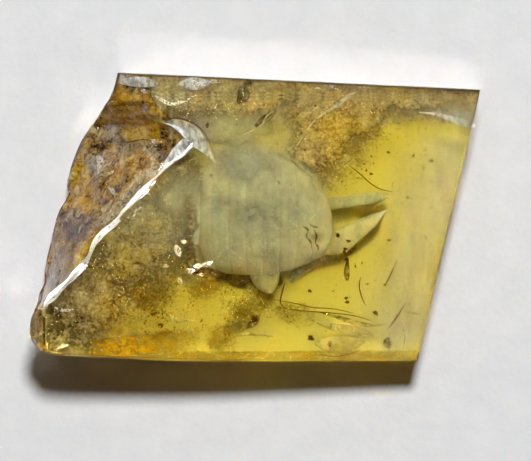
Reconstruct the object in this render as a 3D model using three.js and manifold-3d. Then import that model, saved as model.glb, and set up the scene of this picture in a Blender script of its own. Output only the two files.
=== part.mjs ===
// An insect in a piece of amber. Three sides of the amber and its top and base are cut and
// polished, with a shallow second facet along the top's back edge, and its left end is a rough
// natural break. The insect lies in a pocket half way down, so the amber is parted there in an
// upper and a lower half.
// Sizes are in millimetres. +X runs to the right along the polished faces, +Y to the back and
// +Z up. The origin is under the middle of the piece, on the surface that it lies on.
import * as THREE from "three";
import { mergeVertices } from "three/addons/utils/BufferGeometryUtils.js";
import Module from "manifold-3d";

const wasm = await Module();
wasm.setup();

// The amber's driving dimensions.
const LENGTH = 24;
const DEPTH = 15.38;
const MIDDLE_THICKNESS = 5.2; // between the two polished faces, over the origin
const FALL_TO_RIGHT = 0.105; // the top face's slope along X
const RISE_TO_BACK = 0.08; // and along Y
const BROKEN_LIP = 1.3; // height of the break's thin outer edge
const CORNER_DROP = 0.35; // how far the break lies below the top face at the back corner
const FRONT_ROUNDING = 0.7; // how far the front corner of the break drops below the top face

// Corners in plan: of the walls, and of the top face, which ends at the back facet's crest.
const BACK_LEFT = [0.194 * LENGTH - 12, DEPTH / 2];
const BACK_RIGHT = [LENGTH / 2, 0.444 * DEPTH];
const FRONT_RIGHT = [8.66, -DEPTH / 2];
const FRONT_LEFT = [-11.55, -7.1];
const CREST_Y = 6.45;
const TOP_BACK_LEFT = [-7.58, CREST_Y];
const TOP_BACK_RIGHT = [11.85, CREST_Y];
const TOP_FRONT_RIGHT = [8.58, -7.62];
const TOP_FRONT_LEFT = [-11.5, -7.03];
const FRONT_BOW = [[-10.5, -7.31], [-8.4, -7.47], [-3, -7.68]];
const BACK_FACET_FALL = 0.2; // the back facet's slope
const EDGE_BEVEL = 0.06; // width and drop of the narrow bevel on the other edges

// The outer edge of the break in plan, from front to back, without its two ends.
const BROKEN_EDGE = [
  [-12, -6.45], [-12, -5.5], [-11.68, -4.6], [-11.66, -4.1], [-11.42, -3.5], [-11.4, -2.8],
  [-11.12, -1.5], [-10.65, 0.3], [-10.12, 1.25], [-10.2, 1.75], [-9.9, 3], [-9.4, 4.2],
  [-8.7, 5.2], [-8.05, 6.05],
];
const UNDERCUT = 0.45; // how far the base stays behind the break's outer edge

// The ridge where the break meets the top face, from front to back.
const RIDGE = [
  [-11.52, -5], [-10.93, -4.37], [-9.91, -3.35], [-9.16, -2.49], [-8.68, -1.42], [-8.14, -0.78],
  [-7.39, -0.13], [-6.75, 0.72], [-5.84, 1.58], [-4.88, 2.6], [-3.8, 3.56], [-3.2, 4.15],
  [-3.5, 4.79], [-4.5, 5.28], [-5.25, 5.87], [-5.6, 6.45],
];
const RIDGE_FRONT_SETBACK = 0.3; // the ridge's distance from the edge in front of its first point

// Shell-shaped chips in the break: the middle of each in plan, and its radius.
const CHIPS = [
  [-10.9, -2.6, 1.3], [-9.9, -1.1, 1.1], [-10.1, 0.6, 1], [-8.7, 0.6, 1.5], [-9.1, 2.2, 1.2],
  [-7.4, 1.8, 1.4], [-7.9, 3.5, 1.3], [-6.3, 3.1, 1.2], [-8.3, 4.8, 1], [-6.6, 4.7, 1.2],
  [-4.9, 4.2, 1.1], [-6.7, 5.9, 0.9], [-10.7, -4, 0.9],
];
const CHIP_DEPTH = 0.5;

// Two shallow chips in the polished face beside the ridge: middle, radius and depth.
const FACE_CHIPS = [[-4.2, 3.3, 2.25, 0.2], [-4.4, 6.5, 1.05, 0.3]];

// A small chip off the top's back right corner: its plane's three points.
const CORNER_CHIP = [[11.05, 6.6, 4.52], [11.6, 5.55, 4.38], [11.95, 6.75, 4.0]];

// How finely the amber's surface is divided.
const ROWS = 34;
const BREAK_COLUMNS = 12;
const FACE_COLUMNS = 6;
const WALL_LEVELS = 2;

// The parting of the two halves, and the free space round the insect.
const PARTING_HEIGHT = 2.45;
const PARTING_GAP = 0.3;
const CLEARANCE = 0.34;

const lerp = (a, b, t) => a + (b - a) * t;
const mix = (p, q, t) => p.map((value, i) => lerp(value, q[i], t));
const smoothstep = (a, b, x) => {
  const t = Math.min(Math.max((x - a) / (b - a), 0), 1);
  return t * t * (3 - 2 * t);
};

// A smooth curve in plan through some points, as a function of the share of its length.
function planCurve(points) {
  const curve = new THREE.CatmullRomCurve3(
    points.map(([x, y]) => new THREE.Vector3(x, y, 0)), false, "centripetal");
  return (t) => {
    const p = curve.getPointAt(Math.min(Math.max(t, 0), 1));
    return [p.x, p.y];
  };
}

// The value of a curve's points at x, which rises from point to point, on smooth spans.
function profile(points) {
  return (x) => {
    let i = 1;
    while (i < points.length - 1 && x > points[i][0]) i += 1;
    const [before, after] = [points[i - 1], points[i]];
    const t = Math.min(Math.max((x - before[0]) / (after[0] - before[0]), 0), 1);
    const slope = (k) => {
      const [p, q] = [points[Math.max(k - 1, 0)], points[Math.min(k + 1, points.length - 1)]];
      return (q[1] - p[1]) / (q[0] - p[0]);
    };
    const run = after[0] - before[0];
    const [a, b] = [before[1], after[1]];
    const [ma, mb] = [slope(i - 1) * run, slope(i) * run];
    return a + t * ma + t * t * (3 * (b - a) - 2 * ma - mb) + t ** 3 * (2 * (a - b) + ma + mb);
  };
}

// A closed solid from an indexed or loose geometry. Its faces are turned outwards if they
// point in.
function solidOf(geometry) {
  const loose = geometry.index ? geometry.toNonIndexed() : geometry.clone();
  loose.deleteAttribute("normal");
  loose.deleteAttribute("uv");
  const merged = mergeVertices(loose, 1e-4);
  const [at, corners] = [merged.attributes.position, merged.index.array];
  const [a, b, c] = [new THREE.Vector3(), new THREE.Vector3(), new THREE.Vector3()];
  let volume = 0;
  for (let i = 0; i < corners.length; i += 3) {
    [a, b, c].forEach((v, k) => v.fromBufferAttribute(at, corners[i + k]));
    volume += a.dot(b.cross(c));
  }
  const triVerts = new Uint32Array(corners);
  if (volume < 0) triVerts.reverse();
  return new wasm.Manifold(
    new wasm.Mesh({ numProp: 3, vertProperties: new Float32Array(at.array), triVerts }));
}

function geometryOf(solid) {
  const mesh = solid.getMesh();
  return new THREE.BufferGeometry()
    .setAttribute("position", new THREE.BufferAttribute(mesh.vertProperties, 3))
    .setIndex(new THREE.BufferAttribute(mesh.triVerts, 1))
    .toNonIndexed();
}

// A closed skin over rings of points, each ring of the same count, with a flat fan at each end.
function loft(rings) {
  const count = rings[0].length;
  const positions = rings.flat().flatMap((p) => [p.x, p.y, p.z]);
  const faces = [];
  for (let r = 0; r < rings.length - 1; r += 1) {
    for (let i = 0; i < count; i += 1) {
      const j = (i + 1) % count;
      const [a, b, c, d] = [r * count + i, r * count + j, (r + 1) * count + j, (r + 1) * count + i];
      faces.push(a, b, c, a, c, d);
    }
  }
  for (const [r, turned] of [[0, true], [rings.length - 1, false]]) {
    const centre = positions.length / 3;
    const middle = rings[r].reduce((s, p) => s.add(p), new THREE.Vector3()).divideScalar(count);
    positions.push(middle.x, middle.y, middle.z);
    for (let i = 0; i < count; i += 1) {
      const [a, b] = [r * count + i, r * count + ((i + 1) % count)];
      faces.push(...(turned ? [centre, b, a] : [centre, a, b]));
    }
  }
  return new THREE.BufferGeometry()
    .setAttribute("position", new THREE.Float32BufferAttribute(positions, 3))
    .setIndex(faces);
}

// The outline of the top face, of the walls' upper edge and of the base, each as four curves
// in plan. shift moves the broken edge inwards.
const wallSides = (shift) => ({
  left: planCurve([
    [FRONT_LEFT[0] + shift, FRONT_LEFT[1]],
    ...BROKEN_EDGE.map(([x, y]) => [x + shift, y]),
    [TOP_BACK_LEFT[0] + shift / 2, CREST_Y],
    BACK_LEFT,
  ]),
  right: (v) => mix(FRONT_RIGHT, BACK_RIGHT, v),
  front: planCurve([[FRONT_LEFT[0] + shift, FRONT_LEFT[1]], ...FRONT_BOW, FRONT_RIGHT]),
  back: (u) => mix(BACK_LEFT, BACK_RIGHT, u),
});
const topSides = {
  left: planCurve([
    TOP_FRONT_LEFT, ...BROKEN_EDGE.map(([x, y]) => [x + EDGE_BEVEL, y]), TOP_BACK_LEFT,
  ]),
  right: (v) => mix(TOP_FRONT_RIGHT, TOP_BACK_RIGHT, v),
  front: planCurve([
    TOP_FRONT_LEFT, ...FRONT_BOW.map(([x, y]) => [x, y + EDGE_BEVEL]), TOP_FRONT_RIGHT,
  ]),
  back: (u) => mix(TOP_BACK_LEFT, TOP_BACK_RIGHT, u),
};
const shoulderSides = wallSides(0);
const baseSides = wallSides(UNDERCUT);

// A point in plan at the shares u along X and v along Y, between four side curves: the sum of
// the two ruled surfaces less the one that the corners span.
function between(sides, u, v) {
  const [l, r, f, b] = [sides.left(v), sides.right(v), sides.front(u), sides.back(u)];
  const [fl, fr, bl, br] = [sides.left(0), sides.right(0), sides.left(1), sides.right(1)];
  return [0, 1].map((k) =>
    (1 - u) * l[k] + u * r[k] + (1 - v) * f[k] + v * b[k]
    - (1 - u) * (1 - v) * fl[k] - u * (1 - v) * fr[k] - (1 - u) * v * bl[k] - u * v * br[k]);
}

const topPlane = (x, y) => MIDDLE_THICKNESS - FALL_TO_RIGHT * x + RISE_TO_BACK * y;

// The ridge's X at a given Y. In front of its first point it stays just inside the edge.
function ridgeX(y) {
  const first = RIDGE[0];
  if (y <= first[1]) return TOP_FRONT_LEFT[0] + RIDGE_FRONT_SETBACK;
  const i = Math.max(1, RIDGE.findIndex((p) => p[1] >= y));
  const [a, b] = [RIDGE[i - 1], RIDGE[i]];
  return lerp(a[0], b[0], Math.min((y - a[1]) / (b[1] - a[1]), 1));
}

// The share u at which a row meets the ridge, by halving.
function ridgeShare(v) {
  let [low, high] = [0, 1];
  for (let i = 0; i < 24; i += 1) {
    const middle = (low + high) / 2;
    const [x, y] = between(topSides, middle, v);
    if (x < ridgeX(y)) low = middle;
    else high = middle;
  }
  return Math.max(low, 0.012);
}

// A bowl's depth at its share of the way out: 1 in its middle, 0 at its rim, less beyond it.
const bowl = (x, y, [cx, cy, r]) => 1 - ((x - cx) ** 2 + (y - cy) ** 2) / r ** 2;

// The depth of the nearest chip in the break.
const chipBowl = (x, y) => Math.max(-0.6, ...CHIPS.map((chip) => bowl(x, y, chip)));

// The polished face with its two chips.
function faceHeight(x, y) {
  const depths = FACE_CHIPS.map((chip) => chip[3] * Math.max(bowl(x, y, chip), 0));
  return topPlane(x, y) - Math.max(...depths);
}

// The break's height at the share s of the way from its outer edge to the ridge.
function breakHeight(x, y, s, ridgeHeight) {
  const front = topPlane(x, y) - FRONT_ROUNDING;
  const corner = topPlane(x, y) - CORNER_DROP;
  const lip = lerp(lerp(front, BROKEN_LIP, smoothstep(-5.1, -3.9, y)),
    corner, smoothstep(4.9, CREST_Y, y));
  const rise = 0.38 * s + 0.62 * (1 - (1 - s) ** 2.2);
  const fade = Math.min(1, 4 * (1 - s)) * smoothstep(0, 0.12, s) * smoothstep(-5, -4, y)
    * smoothstep(CREST_Y, CREST_Y - 0.6, y);
  return lerp(lip, ridgeHeight, rise) - CHIP_DEPTH * fade * chipBowl(x, y);
}

// The whole piece of amber: a grid over the top, then its bevel and back facet, walls down to
// the base and a flat base.
function amberSolid() {
  const columns = BREAK_COLUMNS + FACE_COLUMNS;
  const grid = [];
  for (let row = 0; row <= ROWS; row += 1) {
    const v = row / ROWS;
    const ridge = ridgeShare(v);
    const [rx, ry] = between(topSides, ridge, v);
    for (let column = 0; column <= columns; column += 1) {
      const s = Math.min(column / BREAK_COLUMNS, 1);
      const u = s < 1 ? ridge * s : lerp(ridge, 1, (column - BREAK_COLUMNS) / FACE_COLUMNS);
      const [x, y] = between(topSides, u, v);
      const z = s < 1 ? breakHeight(x, y, s, faceHeight(rx, ry)) : faceHeight(x, y);
      grid.push({ u, v, top: new THREE.Vector3(x, y, z) });
    }
  }
  const at = (row, column) => row * (columns + 1) + column;
  const rim = [];
  for (let c = 0; c < columns; c += 1) rim.push(at(0, c));
  for (let r = 0; r < ROWS; r += 1) rim.push(at(r, columns));
  for (let c = columns; c > 0; c -= 1) rim.push(at(ROWS, c));
  for (let r = ROWS; r > 0; r -= 1) rim.push(at(r, 0));

  const points = grid.map((g) => g.top);
  const faces = [];
  for (let r = 0; r < ROWS; r += 1) {
    for (let c = 0; c < columns; c += 1) {
      const [a, b, d, e] = [at(r, c), at(r, c + 1), at(r + 1, c), at(r + 1, c + 1)];
      faces.push(a, b, e, a, e, d);
    }
  }
  const shoulders = rim.map((g) => {
    const { u, v, top } = grid[g];
    const [x, y] = between(shoulderSides, u, v);
    const out = Math.hypot(x - top.x, y - top.y);
    const drop = v === 1 ? BACK_FACET_FALL * out : Math.min(out, EDGE_BEVEL);
    return new THREE.Vector3(x, y, top.z - drop);
  });
  let upper = rim;
  for (let level = 0; level <= WALL_LEVELS; level += 1) {
    const t = level / WALL_LEVELS;
    const lower = rim.map((g, i) => {
      const [x, y] = between(baseSides, grid[g].u, grid[g].v);
      points.push(shoulders[i].clone().lerp(new THREE.Vector3(x, y, 0), t));
      return points.length - 1;
    });
    rim.forEach((_, i) => {
      const j = (i + 1) % rim.length;
      faces.push(upper[i], lower[i], lower[j], upper[i], lower[j], upper[j]);
    });
    upper = lower;
  }
  const contour = upper.map((i) => new THREE.Vector2(points[i].x, points[i].y));
  THREE.ShapeUtils.triangulateShape(contour, []).forEach(([i, j, k]) => {
    faces.push(upper[i], upper[k], upper[j]);
  });
  const whole = solidOf(new THREE.BufferGeometry()
    .setAttribute("position", new THREE.Float32BufferAttribute(
      points.flatMap((p) => [p.x, p.y, p.z]), 3))
    .setIndex(faces));
  const [p, q, r] = CORNER_CHIP.map((corner) => new THREE.Vector3(...corner));
  const inwards = q.clone().sub(p).cross(r.clone().sub(p)).normalize();
  if (inwards.z > 0) inwards.negate();
  return whole.trimByPlane(inwards.toArray(), inwards.dot(p));
}

// The insect's driving dimensions. It lies level, its head to the left.
const INSECT_HEIGHT = 2.45; // of its widest level above the base
const BODY_START = -3.42;
const BODY_END = 4.05;
const BACK_RISE = 1.25; // from the widest level to the top of the back
const BELLY_DROP = 0.8;
const PLATES = 8; // the back's plates from the wide front end to the tail
const PLATE_STEP = 0.07; // how far each plate stands over the next
const BODY_SIDES = 20;
const RINGS_IN_PLATE = 3;

// Half the body's width, and the place of its middle line, along X.
const halfWidth = profile([
  [-3.42, 1.1], [-3.16, 1.72], [-2.68, 2.5], [-1.4, 3.27], [0.1, 3.54], [1.34, 3.13], [2.1, 2.79],
  [3.37, 1.88], [4.05, 1.2],
]);
const middleLine = profile([[-3.42, 0.42], [-2.68, 0.02], [-0.4, 0.46], [2.1, 0.1], [4.05, -0.4]]);

// A rounded section with a flatter belly. grow is added all round for the pocket.
function bodyRing(x, width, rise, drop, centreY, grow) {
  const ring = [];
  for (let i = 0; i < BODY_SIDES; i += 1) {
    const angle = (2 * Math.PI * i) / BODY_SIDES;
    const [c, s] = [Math.cos(angle), Math.sin(angle)];
    const y = centreY + (width + grow) * Math.sign(c) * Math.abs(c) ** 0.85;
    const height = (s > 0 ? rise : drop) + grow;
    const z = INSECT_HEIGHT + height * Math.sign(s) * Math.abs(s) ** 1.1;
    ring.push(new THREE.Vector3(x, y, z));
  }
  return ring;
}

function bodySolid(grow) {
  const rings = [];
  const count = grow ? 12 : PLATES * RINGS_IN_PLATE;
  for (let i = 0; i <= count; i += 1) {
    const share = i / count;
    const x = lerp(BODY_START - grow, BODY_END + grow, share);
    const inside = lerp(BODY_START, BODY_END, share);
    const dome = Math.sqrt(Math.max(1 - ((inside + 0.2) / 5.2) ** 2, 0)) * smoothstep(
      BODY_START - 1.1, BODY_START + 1.2, inside);
    const step = grow ? 0 : PLATE_STEP * (1 - (i % RINGS_IN_PLATE) / (RINGS_IN_PLATE - 1));
    rings.push(bodyRing(
      x, halfWidth(inside) - step, BACK_RISE * dome - step, BELLY_DROP * dome,
      middleLine(inside), grow));
  }
  return solidOf(loft(rings));
}

// The head and the collar behind it, in front of the wide body.
const HEAD = { start: -4.95, end: -3.1, width: 1.4, rise: 0.6, drop: 0.5, y: 0.3 };
function headSolid(grow) {
  const rings = [];
  const count = 8;
  for (let i = 0; i <= count; i += 1) {
    const t = i / count;
    const round = Math.sqrt(Math.max(1 - (1 - Math.min(t * 1.5 + 0.04, 1)) ** 2, 0));
    const collar = 1 + 0.16 * smoothstep(0.55, 0.8, t);
    const x = lerp(HEAD.start - grow, HEAD.end + grow, t);
    rings.push(bodyRing(
      x, HEAD.width * round * collar, HEAD.rise * round, HEAD.drop * round, HEAD.y, grow));
  }
  return solidOf(loft(rings));
}

// A tapered limb along a smooth path. Each stop is [x, y, z, half width, half thickness], with
// z from the insect's widest level.
function limb(stops, grow, sides = 8, steps = 8) {
  const path = new THREE.CatmullRomCurve3(
    stops.map(([x, y, z]) => new THREE.Vector3(x, y, z + INSECT_HEIGHT)), false, "centripetal");
  const up = new THREE.Vector3(0, 0, 1);
  const rings = [];
  for (let i = 0; i <= steps; i += 1) {
    const t = i / steps;
    const place = (stops.length - 1) * t;
    const k = Math.min(Math.floor(place), stops.length - 2);
    const [, , , width, thickness] = mix(stops[k], stops[k + 1], place - k);
    const along = path.getTangent(t);
    const across = new THREE.Vector3().crossVectors(up, along).normalize();
    const over = new THREE.Vector3().crossVectors(along, across);
    const end = grow * (i === 0 ? -1 : i === steps ? 1 : 0);
    const centre = path.getPoint(t).addScaledVector(along, end);
    const ring = [];
    for (let j = 0; j < sides; j += 1) {
      const angle = (2 * Math.PI * j) / sides;
      ring.push(centre.clone()
        .addScaledVector(across, (width + grow) * Math.cos(angle))
        .addScaledVector(over, (thickness + grow) * Math.sin(angle)));
    }
    rings.push(ring);
  }
  return solidOf(loft(rings));
}

// The two tail prongs, the upper one slim and the lower one a broad blade.
const PRONGS = [
  [[3.2, 0.72, 0.08, 0.45, 0.3], [4.3, 0.86, 0.1, 0.34, 0.26], [5.4, 0.99, 0.12, 0.34, 0.2],
    [6.35, 1.12, 0.14, 0.3, 0.14], [6.85, 1.19, 0.15, 0.16, 0.09], [7.18, 1.2, 0.15, 0.04, 0.04]],
  [[3.2, -1.1, 0, 0.84, 0.34], [4.29, -1.24, 0.02, 0.66, 0.3], [5.04, -0.82, 0.05, 0.56, 0.24],
    [5.68, -0.43, 0.08, 0.45, 0.18], [6.38, 0.03, 0.1, 0.29, 0.11], [6.95, 0.45, 0.12, 0.04, 0.04]],
];

// Six legs folded under the belly. side is 1 for the back row and -1 for the front row.
const LEG_ROOTS = [-2.1, -0.6, 0.9];
function legStops(x, side) {
  const reach = middleLine(x) + side * (halfWidth(x) - 0.35);
  const knee = x + 0.35;
  return [
    [x, middleLine(x) + side * 0.7, -0.6, 0.26, 0.22],
    [knee - 0.1, lerp(middleLine(x), reach, 0.65), -0.72, 0.24, 0.2],
    [knee + 0.1, reach, -0.66, 0.15, 0.15],
    [knee + 0.9, lerp(middleLine(x), reach, 0.62), -0.84, 0.11, 0.1],
    [knee + 1.5, lerp(middleLine(x), reach, 0.4), -0.8, 0.06, 0.06],
  ];
}

// The one leg that shows from above, its thigh bent out past the front edge of the body.
const BENT_LEG = [
  [0.3, -2.2, -0.5, 0.6, 0.28], [0.36, -2.9, -0.42, 0.78, 0.32], [0.5, -3.4, -0.4, 0.68, 0.28],
  [0.62, -3.8, -0.4, 0.4, 0.2], [0.68, -4.0, -0.42, 0.14, 0.12],
];

function insectSolid(grow) {
  const limbs = PRONGS.map((stops) => limb(stops, grow));
  for (const side of [1, -1]) {
    LEG_ROOTS.forEach((x) => limbs.push(limb(legStops(x, side), grow, 5, 6)));
  }
  limbs.push(limb(BENT_LEG, grow));
  return [bodySolid(grow), headSolid(grow), ...limbs].reduce((all, one) => all.add(one));
}

// A box that holds everything above or below a level, for parting the amber.
function halfSpace(from, to) {
  const box = new THREE.BoxGeometry(2 * LENGTH, 2 * DEPTH, to - from);
  box.translate(0, 0, (from + to) / 2);
  return solidOf(box);
}

function piece(name, solid, material) {
  const mesh = new THREE.Mesh(geometryOf(solid), material);
  mesh.geometry.computeVertexNormals();
  mesh.name = name;
  return mesh;
}

const amberMaterial = new THREE.MeshStandardMaterial({
  color: 0xd9a520, roughness: 0.08, metalness: 0, transparent: true, opacity: 0.45,
});
const insectMaterial = new THREE.MeshStandardMaterial({
  color: 0xa39a70, roughness: 0.75, metalness: 0,
});

const amber = amberSolid();
const pocket = insectSolid(CLEARANCE);
const [below, above] = [PARTING_HEIGHT - PARTING_GAP / 2, PARTING_HEIGHT + PARTING_GAP / 2];
const ROOM = 3 * MIDDLE_THICKNESS;

const insectInAmber = new THREE.Group();
insectInAmber.add(
  piece("amber_lower_half", amber.intersect(halfSpace(-ROOM, below)).subtract(pocket),
    amberMaterial),
  piece("amber_upper_half", amber.intersect(halfSpace(above, ROOM)).subtract(pocket),
    amberMaterial),
  piece("insect", insectSolid(0), insectMaterial),
);

export default insectInAmber;
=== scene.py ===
import itertools
import math

import bpy
import numpy as np
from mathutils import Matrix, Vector


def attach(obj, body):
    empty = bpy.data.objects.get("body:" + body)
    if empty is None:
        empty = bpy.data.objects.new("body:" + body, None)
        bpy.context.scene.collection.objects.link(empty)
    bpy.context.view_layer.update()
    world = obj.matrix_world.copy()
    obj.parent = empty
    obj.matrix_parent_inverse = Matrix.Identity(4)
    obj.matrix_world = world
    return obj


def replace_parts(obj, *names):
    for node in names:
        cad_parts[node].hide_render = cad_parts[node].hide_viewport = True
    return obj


# An insect in a piece of amber, on pale paper, seen from straight above. Shapes are worked out
# in millimetres, in the frame's axes, and a piece turns them to metres when its mesh is made.
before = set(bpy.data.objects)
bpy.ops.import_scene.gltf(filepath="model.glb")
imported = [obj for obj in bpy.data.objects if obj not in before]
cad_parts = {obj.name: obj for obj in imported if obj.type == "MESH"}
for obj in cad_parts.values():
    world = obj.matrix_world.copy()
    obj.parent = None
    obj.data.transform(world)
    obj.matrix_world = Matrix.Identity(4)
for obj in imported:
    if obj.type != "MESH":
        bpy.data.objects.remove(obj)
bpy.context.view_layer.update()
MM = 0.001


# The amber's driving dimensions

# The solids have the same ones, but for a back facet that falls by 0.2 of its width, and a
# second shallow chip.
LENGTH = 24
DEPTH = 15.38
MIDDLE_THICKNESS = 5.2
FALL_TO_RIGHT = 0.105
RISE_TO_BACK = 0.08
BROKEN_LIP = 1.3
CORNER_DROP = 0.35
FRONT_ROUNDING = 0.7
BACK_LEFT = (0.194 * LENGTH - 12, DEPTH / 2)
BACK_RIGHT = (LENGTH / 2, 0.444 * DEPTH)
FRONT_RIGHT = (8.66, -DEPTH / 2)
FRONT_LEFT = (-11.55, -7.1)
CREST_Y = 6.45
TOP_BACK_LEFT = (-7.58, CREST_Y)
TOP_BACK_RIGHT = (11.85, CREST_Y)
TOP_FRONT_RIGHT = (8.58, -7.62)
TOP_FRONT_LEFT = (-11.5, -7.03)
FRONT_BOW = [(-10.5, -7.31), (-8.4, -7.47), (-3, -7.68)]
BACK_FACET_FALL = 0.3
EDGE_BEVEL = 0.06
BROKEN_EDGE = [
    (-12, -6.45), (-12, -5.5), (-11.68, -4.6), (-11.66, -4.1), (-11.42, -3.5), (-11.4, -2.8),
    (-11.12, -1.5), (-10.65, 0.3), (-10.12, 1.25), (-10.2, 1.75), (-9.9, 3), (-9.4, 4.2),
    (-8.7, 5.2), (-8.05, 6.05),
]
UNDERCUT = 0.45
RIDGE = [
    (-11.52, -5), (-10.93, -4.37), (-9.91, -3.35), (-9.16, -2.49), (-8.68, -1.42), (-8.14, -0.78),
    (-7.39, -0.13), (-6.75, 0.72), (-5.84, 1.58), (-4.88, 2.6), (-3.8, 3.56), (-3.2, 4.15),
    (-3.5, 4.79), (-4.5, 5.28), (-5.25, 5.87), (-5.6, 6.45),
]
RIDGE_FRONT_SETBACK = 0.3
CHIPS = [
    (-10.9, -2.6, 1.3), (-9.9, -1.1, 1.1), (-10.1, 0.6, 1), (-8.7, 0.6, 1.5), (-9.1, 2.2, 1.2),
    (-7.4, 1.8, 1.4), (-7.9, 3.5, 1.3), (-6.3, 3.1, 1.2), (-8.3, 4.8, 1), (-6.6, 4.7, 1.2),
    (-4.9, 4.2, 1.1), (-6.7, 5.9, 0.9), (-10.7, -4, 0.9),
]
CHIP_DEPTH = 0.5
FACE_CHIP = (-4.2, 3.3, 2.25, 0.2)
CORNER_CHIP = [(11.05, 6.6, 4.52), (11.6, 5.55, 4.38), (11.95, 6.75, 4.0)]

# What is too fine for the solids
RIDGE_ROUNDING = 0.32


def mix(a, b, t):
    return a + (b - a) * t


def smoothstep(a, b, x):
    t = np.clip((x - a) / (b - a), 0, 1)
    return t * t * (3 - 2 * t)


def soft_noise(points, size, seed=0):
    """Smooth noise from -1 to 1: random values at the corners of a lattice of the given size,
    blended along each axis with a cubic ease."""
    table = np.random.default_rng(seed).uniform(-1, 1, 4096)
    places = np.stack(points, -1) / size
    cell = np.floor(places).astype(np.int64)
    share = places - cell
    share = share * share * (3 - 2 * share)
    total = 0
    for corner in itertools.product((0, 1), repeat=len(points)):
        steps = (cell + corner) * np.array([73, 1013, 3571][:len(points)])
        weight = np.prod(np.where(corner, share, 1 - share), -1)
        total = total + weight * table[(steps.sum(-1) * 7919) % 4096]
    return total


def smooth_path(points, shares):
    """Points at the given shares of the length of a centripetal Catmull-Rom curve: each span is
    a cubic whose end slopes come from its neighbours, spaced by the root of their distance."""
    knots = np.array(points, float)
    knots = np.vstack([2 * knots[0] - knots[1], knots, 2 * knots[-1] - knots[-2]])
    p0, p1, p2, p3 = (knots[i:len(knots) - 3 + i] for i in range(4))
    d0, d1, d2 = (np.sqrt(np.linalg.norm(b - a, axis=1))[:, None]
                  for a, b in ((p0, p1), (p1, p2), (p2, p3)))
    start = d1 * ((p1 - p0) / d0 - (p2 - p0) / (d0 + d1) + (p2 - p1) / d1)
    end = d1 * ((p2 - p1) / d1 - (p3 - p1) / (d1 + d2) + (p3 - p2) / d2)
    t = np.linspace(0, 1, 60)[None, :, None]
    a, b, m, n = (v[:, None] for v in (p1, p2, start, end))
    fine = a + t * m + t ** 2 * (3 * (b - a) - 2 * m - n) + t ** 3 * (2 * (a - b) + m + n)
    fine = fine.reshape(-1, knots.shape[1])
    length = np.concatenate([[0], np.cumsum(np.linalg.norm(np.diff(fine, axis=0), axis=1))])
    where = np.clip(shares, 0, 1) * length[-1]
    return np.stack([np.interp(where, length, axis) for axis in fine.T], -1)


def straight(a, b):
    """The points at some shares of the way from a to b."""
    return lambda shares: mix(np.array(a), np.array(b), np.asarray(shares)[..., None])


def curved(points):
    return lambda shares: smooth_path(points, np.asarray(shares))


def profile(points):
    """The value of a rising list of points at x: cubic spans whose end slopes come from the
    points on either side."""
    xs, ys = np.array(points, float).T
    low = np.maximum(np.arange(len(xs)) - 1, 0)
    high = np.minimum(np.arange(len(xs)) + 1, len(xs) - 1)
    slope = (ys[high] - ys[low]) / (xs[high] - xs[low])

    def at(x):
        i = np.clip(np.searchsorted(xs, x), 1, len(xs) - 1)
        run = xs[i] - xs[i - 1]
        t = np.clip((x - xs[i - 1]) / run, 0, 1)
        a, b, m, n = ys[i - 1], ys[i], slope[i - 1] * run, slope[i] * run
        return a + t * m + t ** 2 * (3 * (b - a) - 2 * m - n) + t ** 3 * (2 * (a - b) + m + n)

    return at


# Meshes

def new_piece(name, points, faces, smooth=True, sharp_above=None, masks=None):
    """A mesh object at the origin from points in millimetres and a list of faces. Each mask is
    a named value at every point."""
    mesh = bpy.data.meshes.new(name)
    mesh.from_pydata((np.asarray(points) * MM).tolist(), [], faces)
    mesh.polygons.foreach_set("use_smooth", np.full(len(mesh.polygons), smooth))
    if sharp_above is not None:
        mesh.set_sharp_from_angle(angle=math.radians(sharp_above))
    for key, values in (masks or {}).items():
        mesh.attributes.new(key, "FLOAT", "POINT").data.foreach_set("value", values)
    mesh.update()
    piece = bpy.data.objects.new(name, mesh)
    bpy.context.scene.collection.objects.link(piece)
    return piece


def grid_faces(rows, columns, around=False):
    """Four-sided faces over a grid of points, closed round each row if asked."""
    r, c = np.meshgrid(np.arange(rows - 1), np.arange(columns - (0 if around else 1)),
                       indexing="ij")
    after = (c + 1) % columns
    corners = [r * columns + c, r * columns + after, (r + 1) * columns + after,
               (r + 1) * columns + c]
    return np.stack(corners, -1).reshape(-1, 4)


def joined(shells):
    """The points and faces of several shells as one list of each."""
    points, faces, first = [], [], 0
    for shell_points, shell_faces in shells:
        points.append(shell_points)
        faces += [[first + i for i in face] for face in shell_faces]
        first += len(shell_points)
    return np.vstack(points), faces


def skin(rings):
    """A closed shell over rings of points, from an array of rings by sides by 3, with a flat
    face at each end."""
    count, sides = rings.shape[:2]
    faces = grid_faces(count, sides, around=True).tolist()
    last = (count - 1) * sides
    ends = [list(range(sides))[::-1], list(range(last, last + sides))]
    return rings.reshape(-1, 3), faces + ends


def tube(stops, sides, steps):
    """A closed tube along a smooth curve. Each stop is x, y, z, half width and half thickness,
    and every ring is an ellipse across the curve whose width lies level."""
    t = np.linspace(0, 1, steps + 1)
    along_stops = smooth_path(stops, t)
    centre, width, thickness = along_stops[:, :3], along_stops[:, 3], along_stops[:, 4]
    along = np.gradient(centre, axis=0)
    along /= np.linalg.norm(along, axis=1)[:, None]
    across = np.cross([0, 0, 1], along)
    across /= np.linalg.norm(across, axis=1)[:, None]
    over = np.cross(along, across)
    angle = np.linspace(0, 2 * np.pi, sides, endpoint=False)
    rings = (centre[:, None]
             + across[:, None] * (width[:, None] * np.cos(angle))[..., None]
             + over[:, None] * (thickness[:, None] * np.sin(angle))[..., None])
    return skin(rings)


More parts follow.
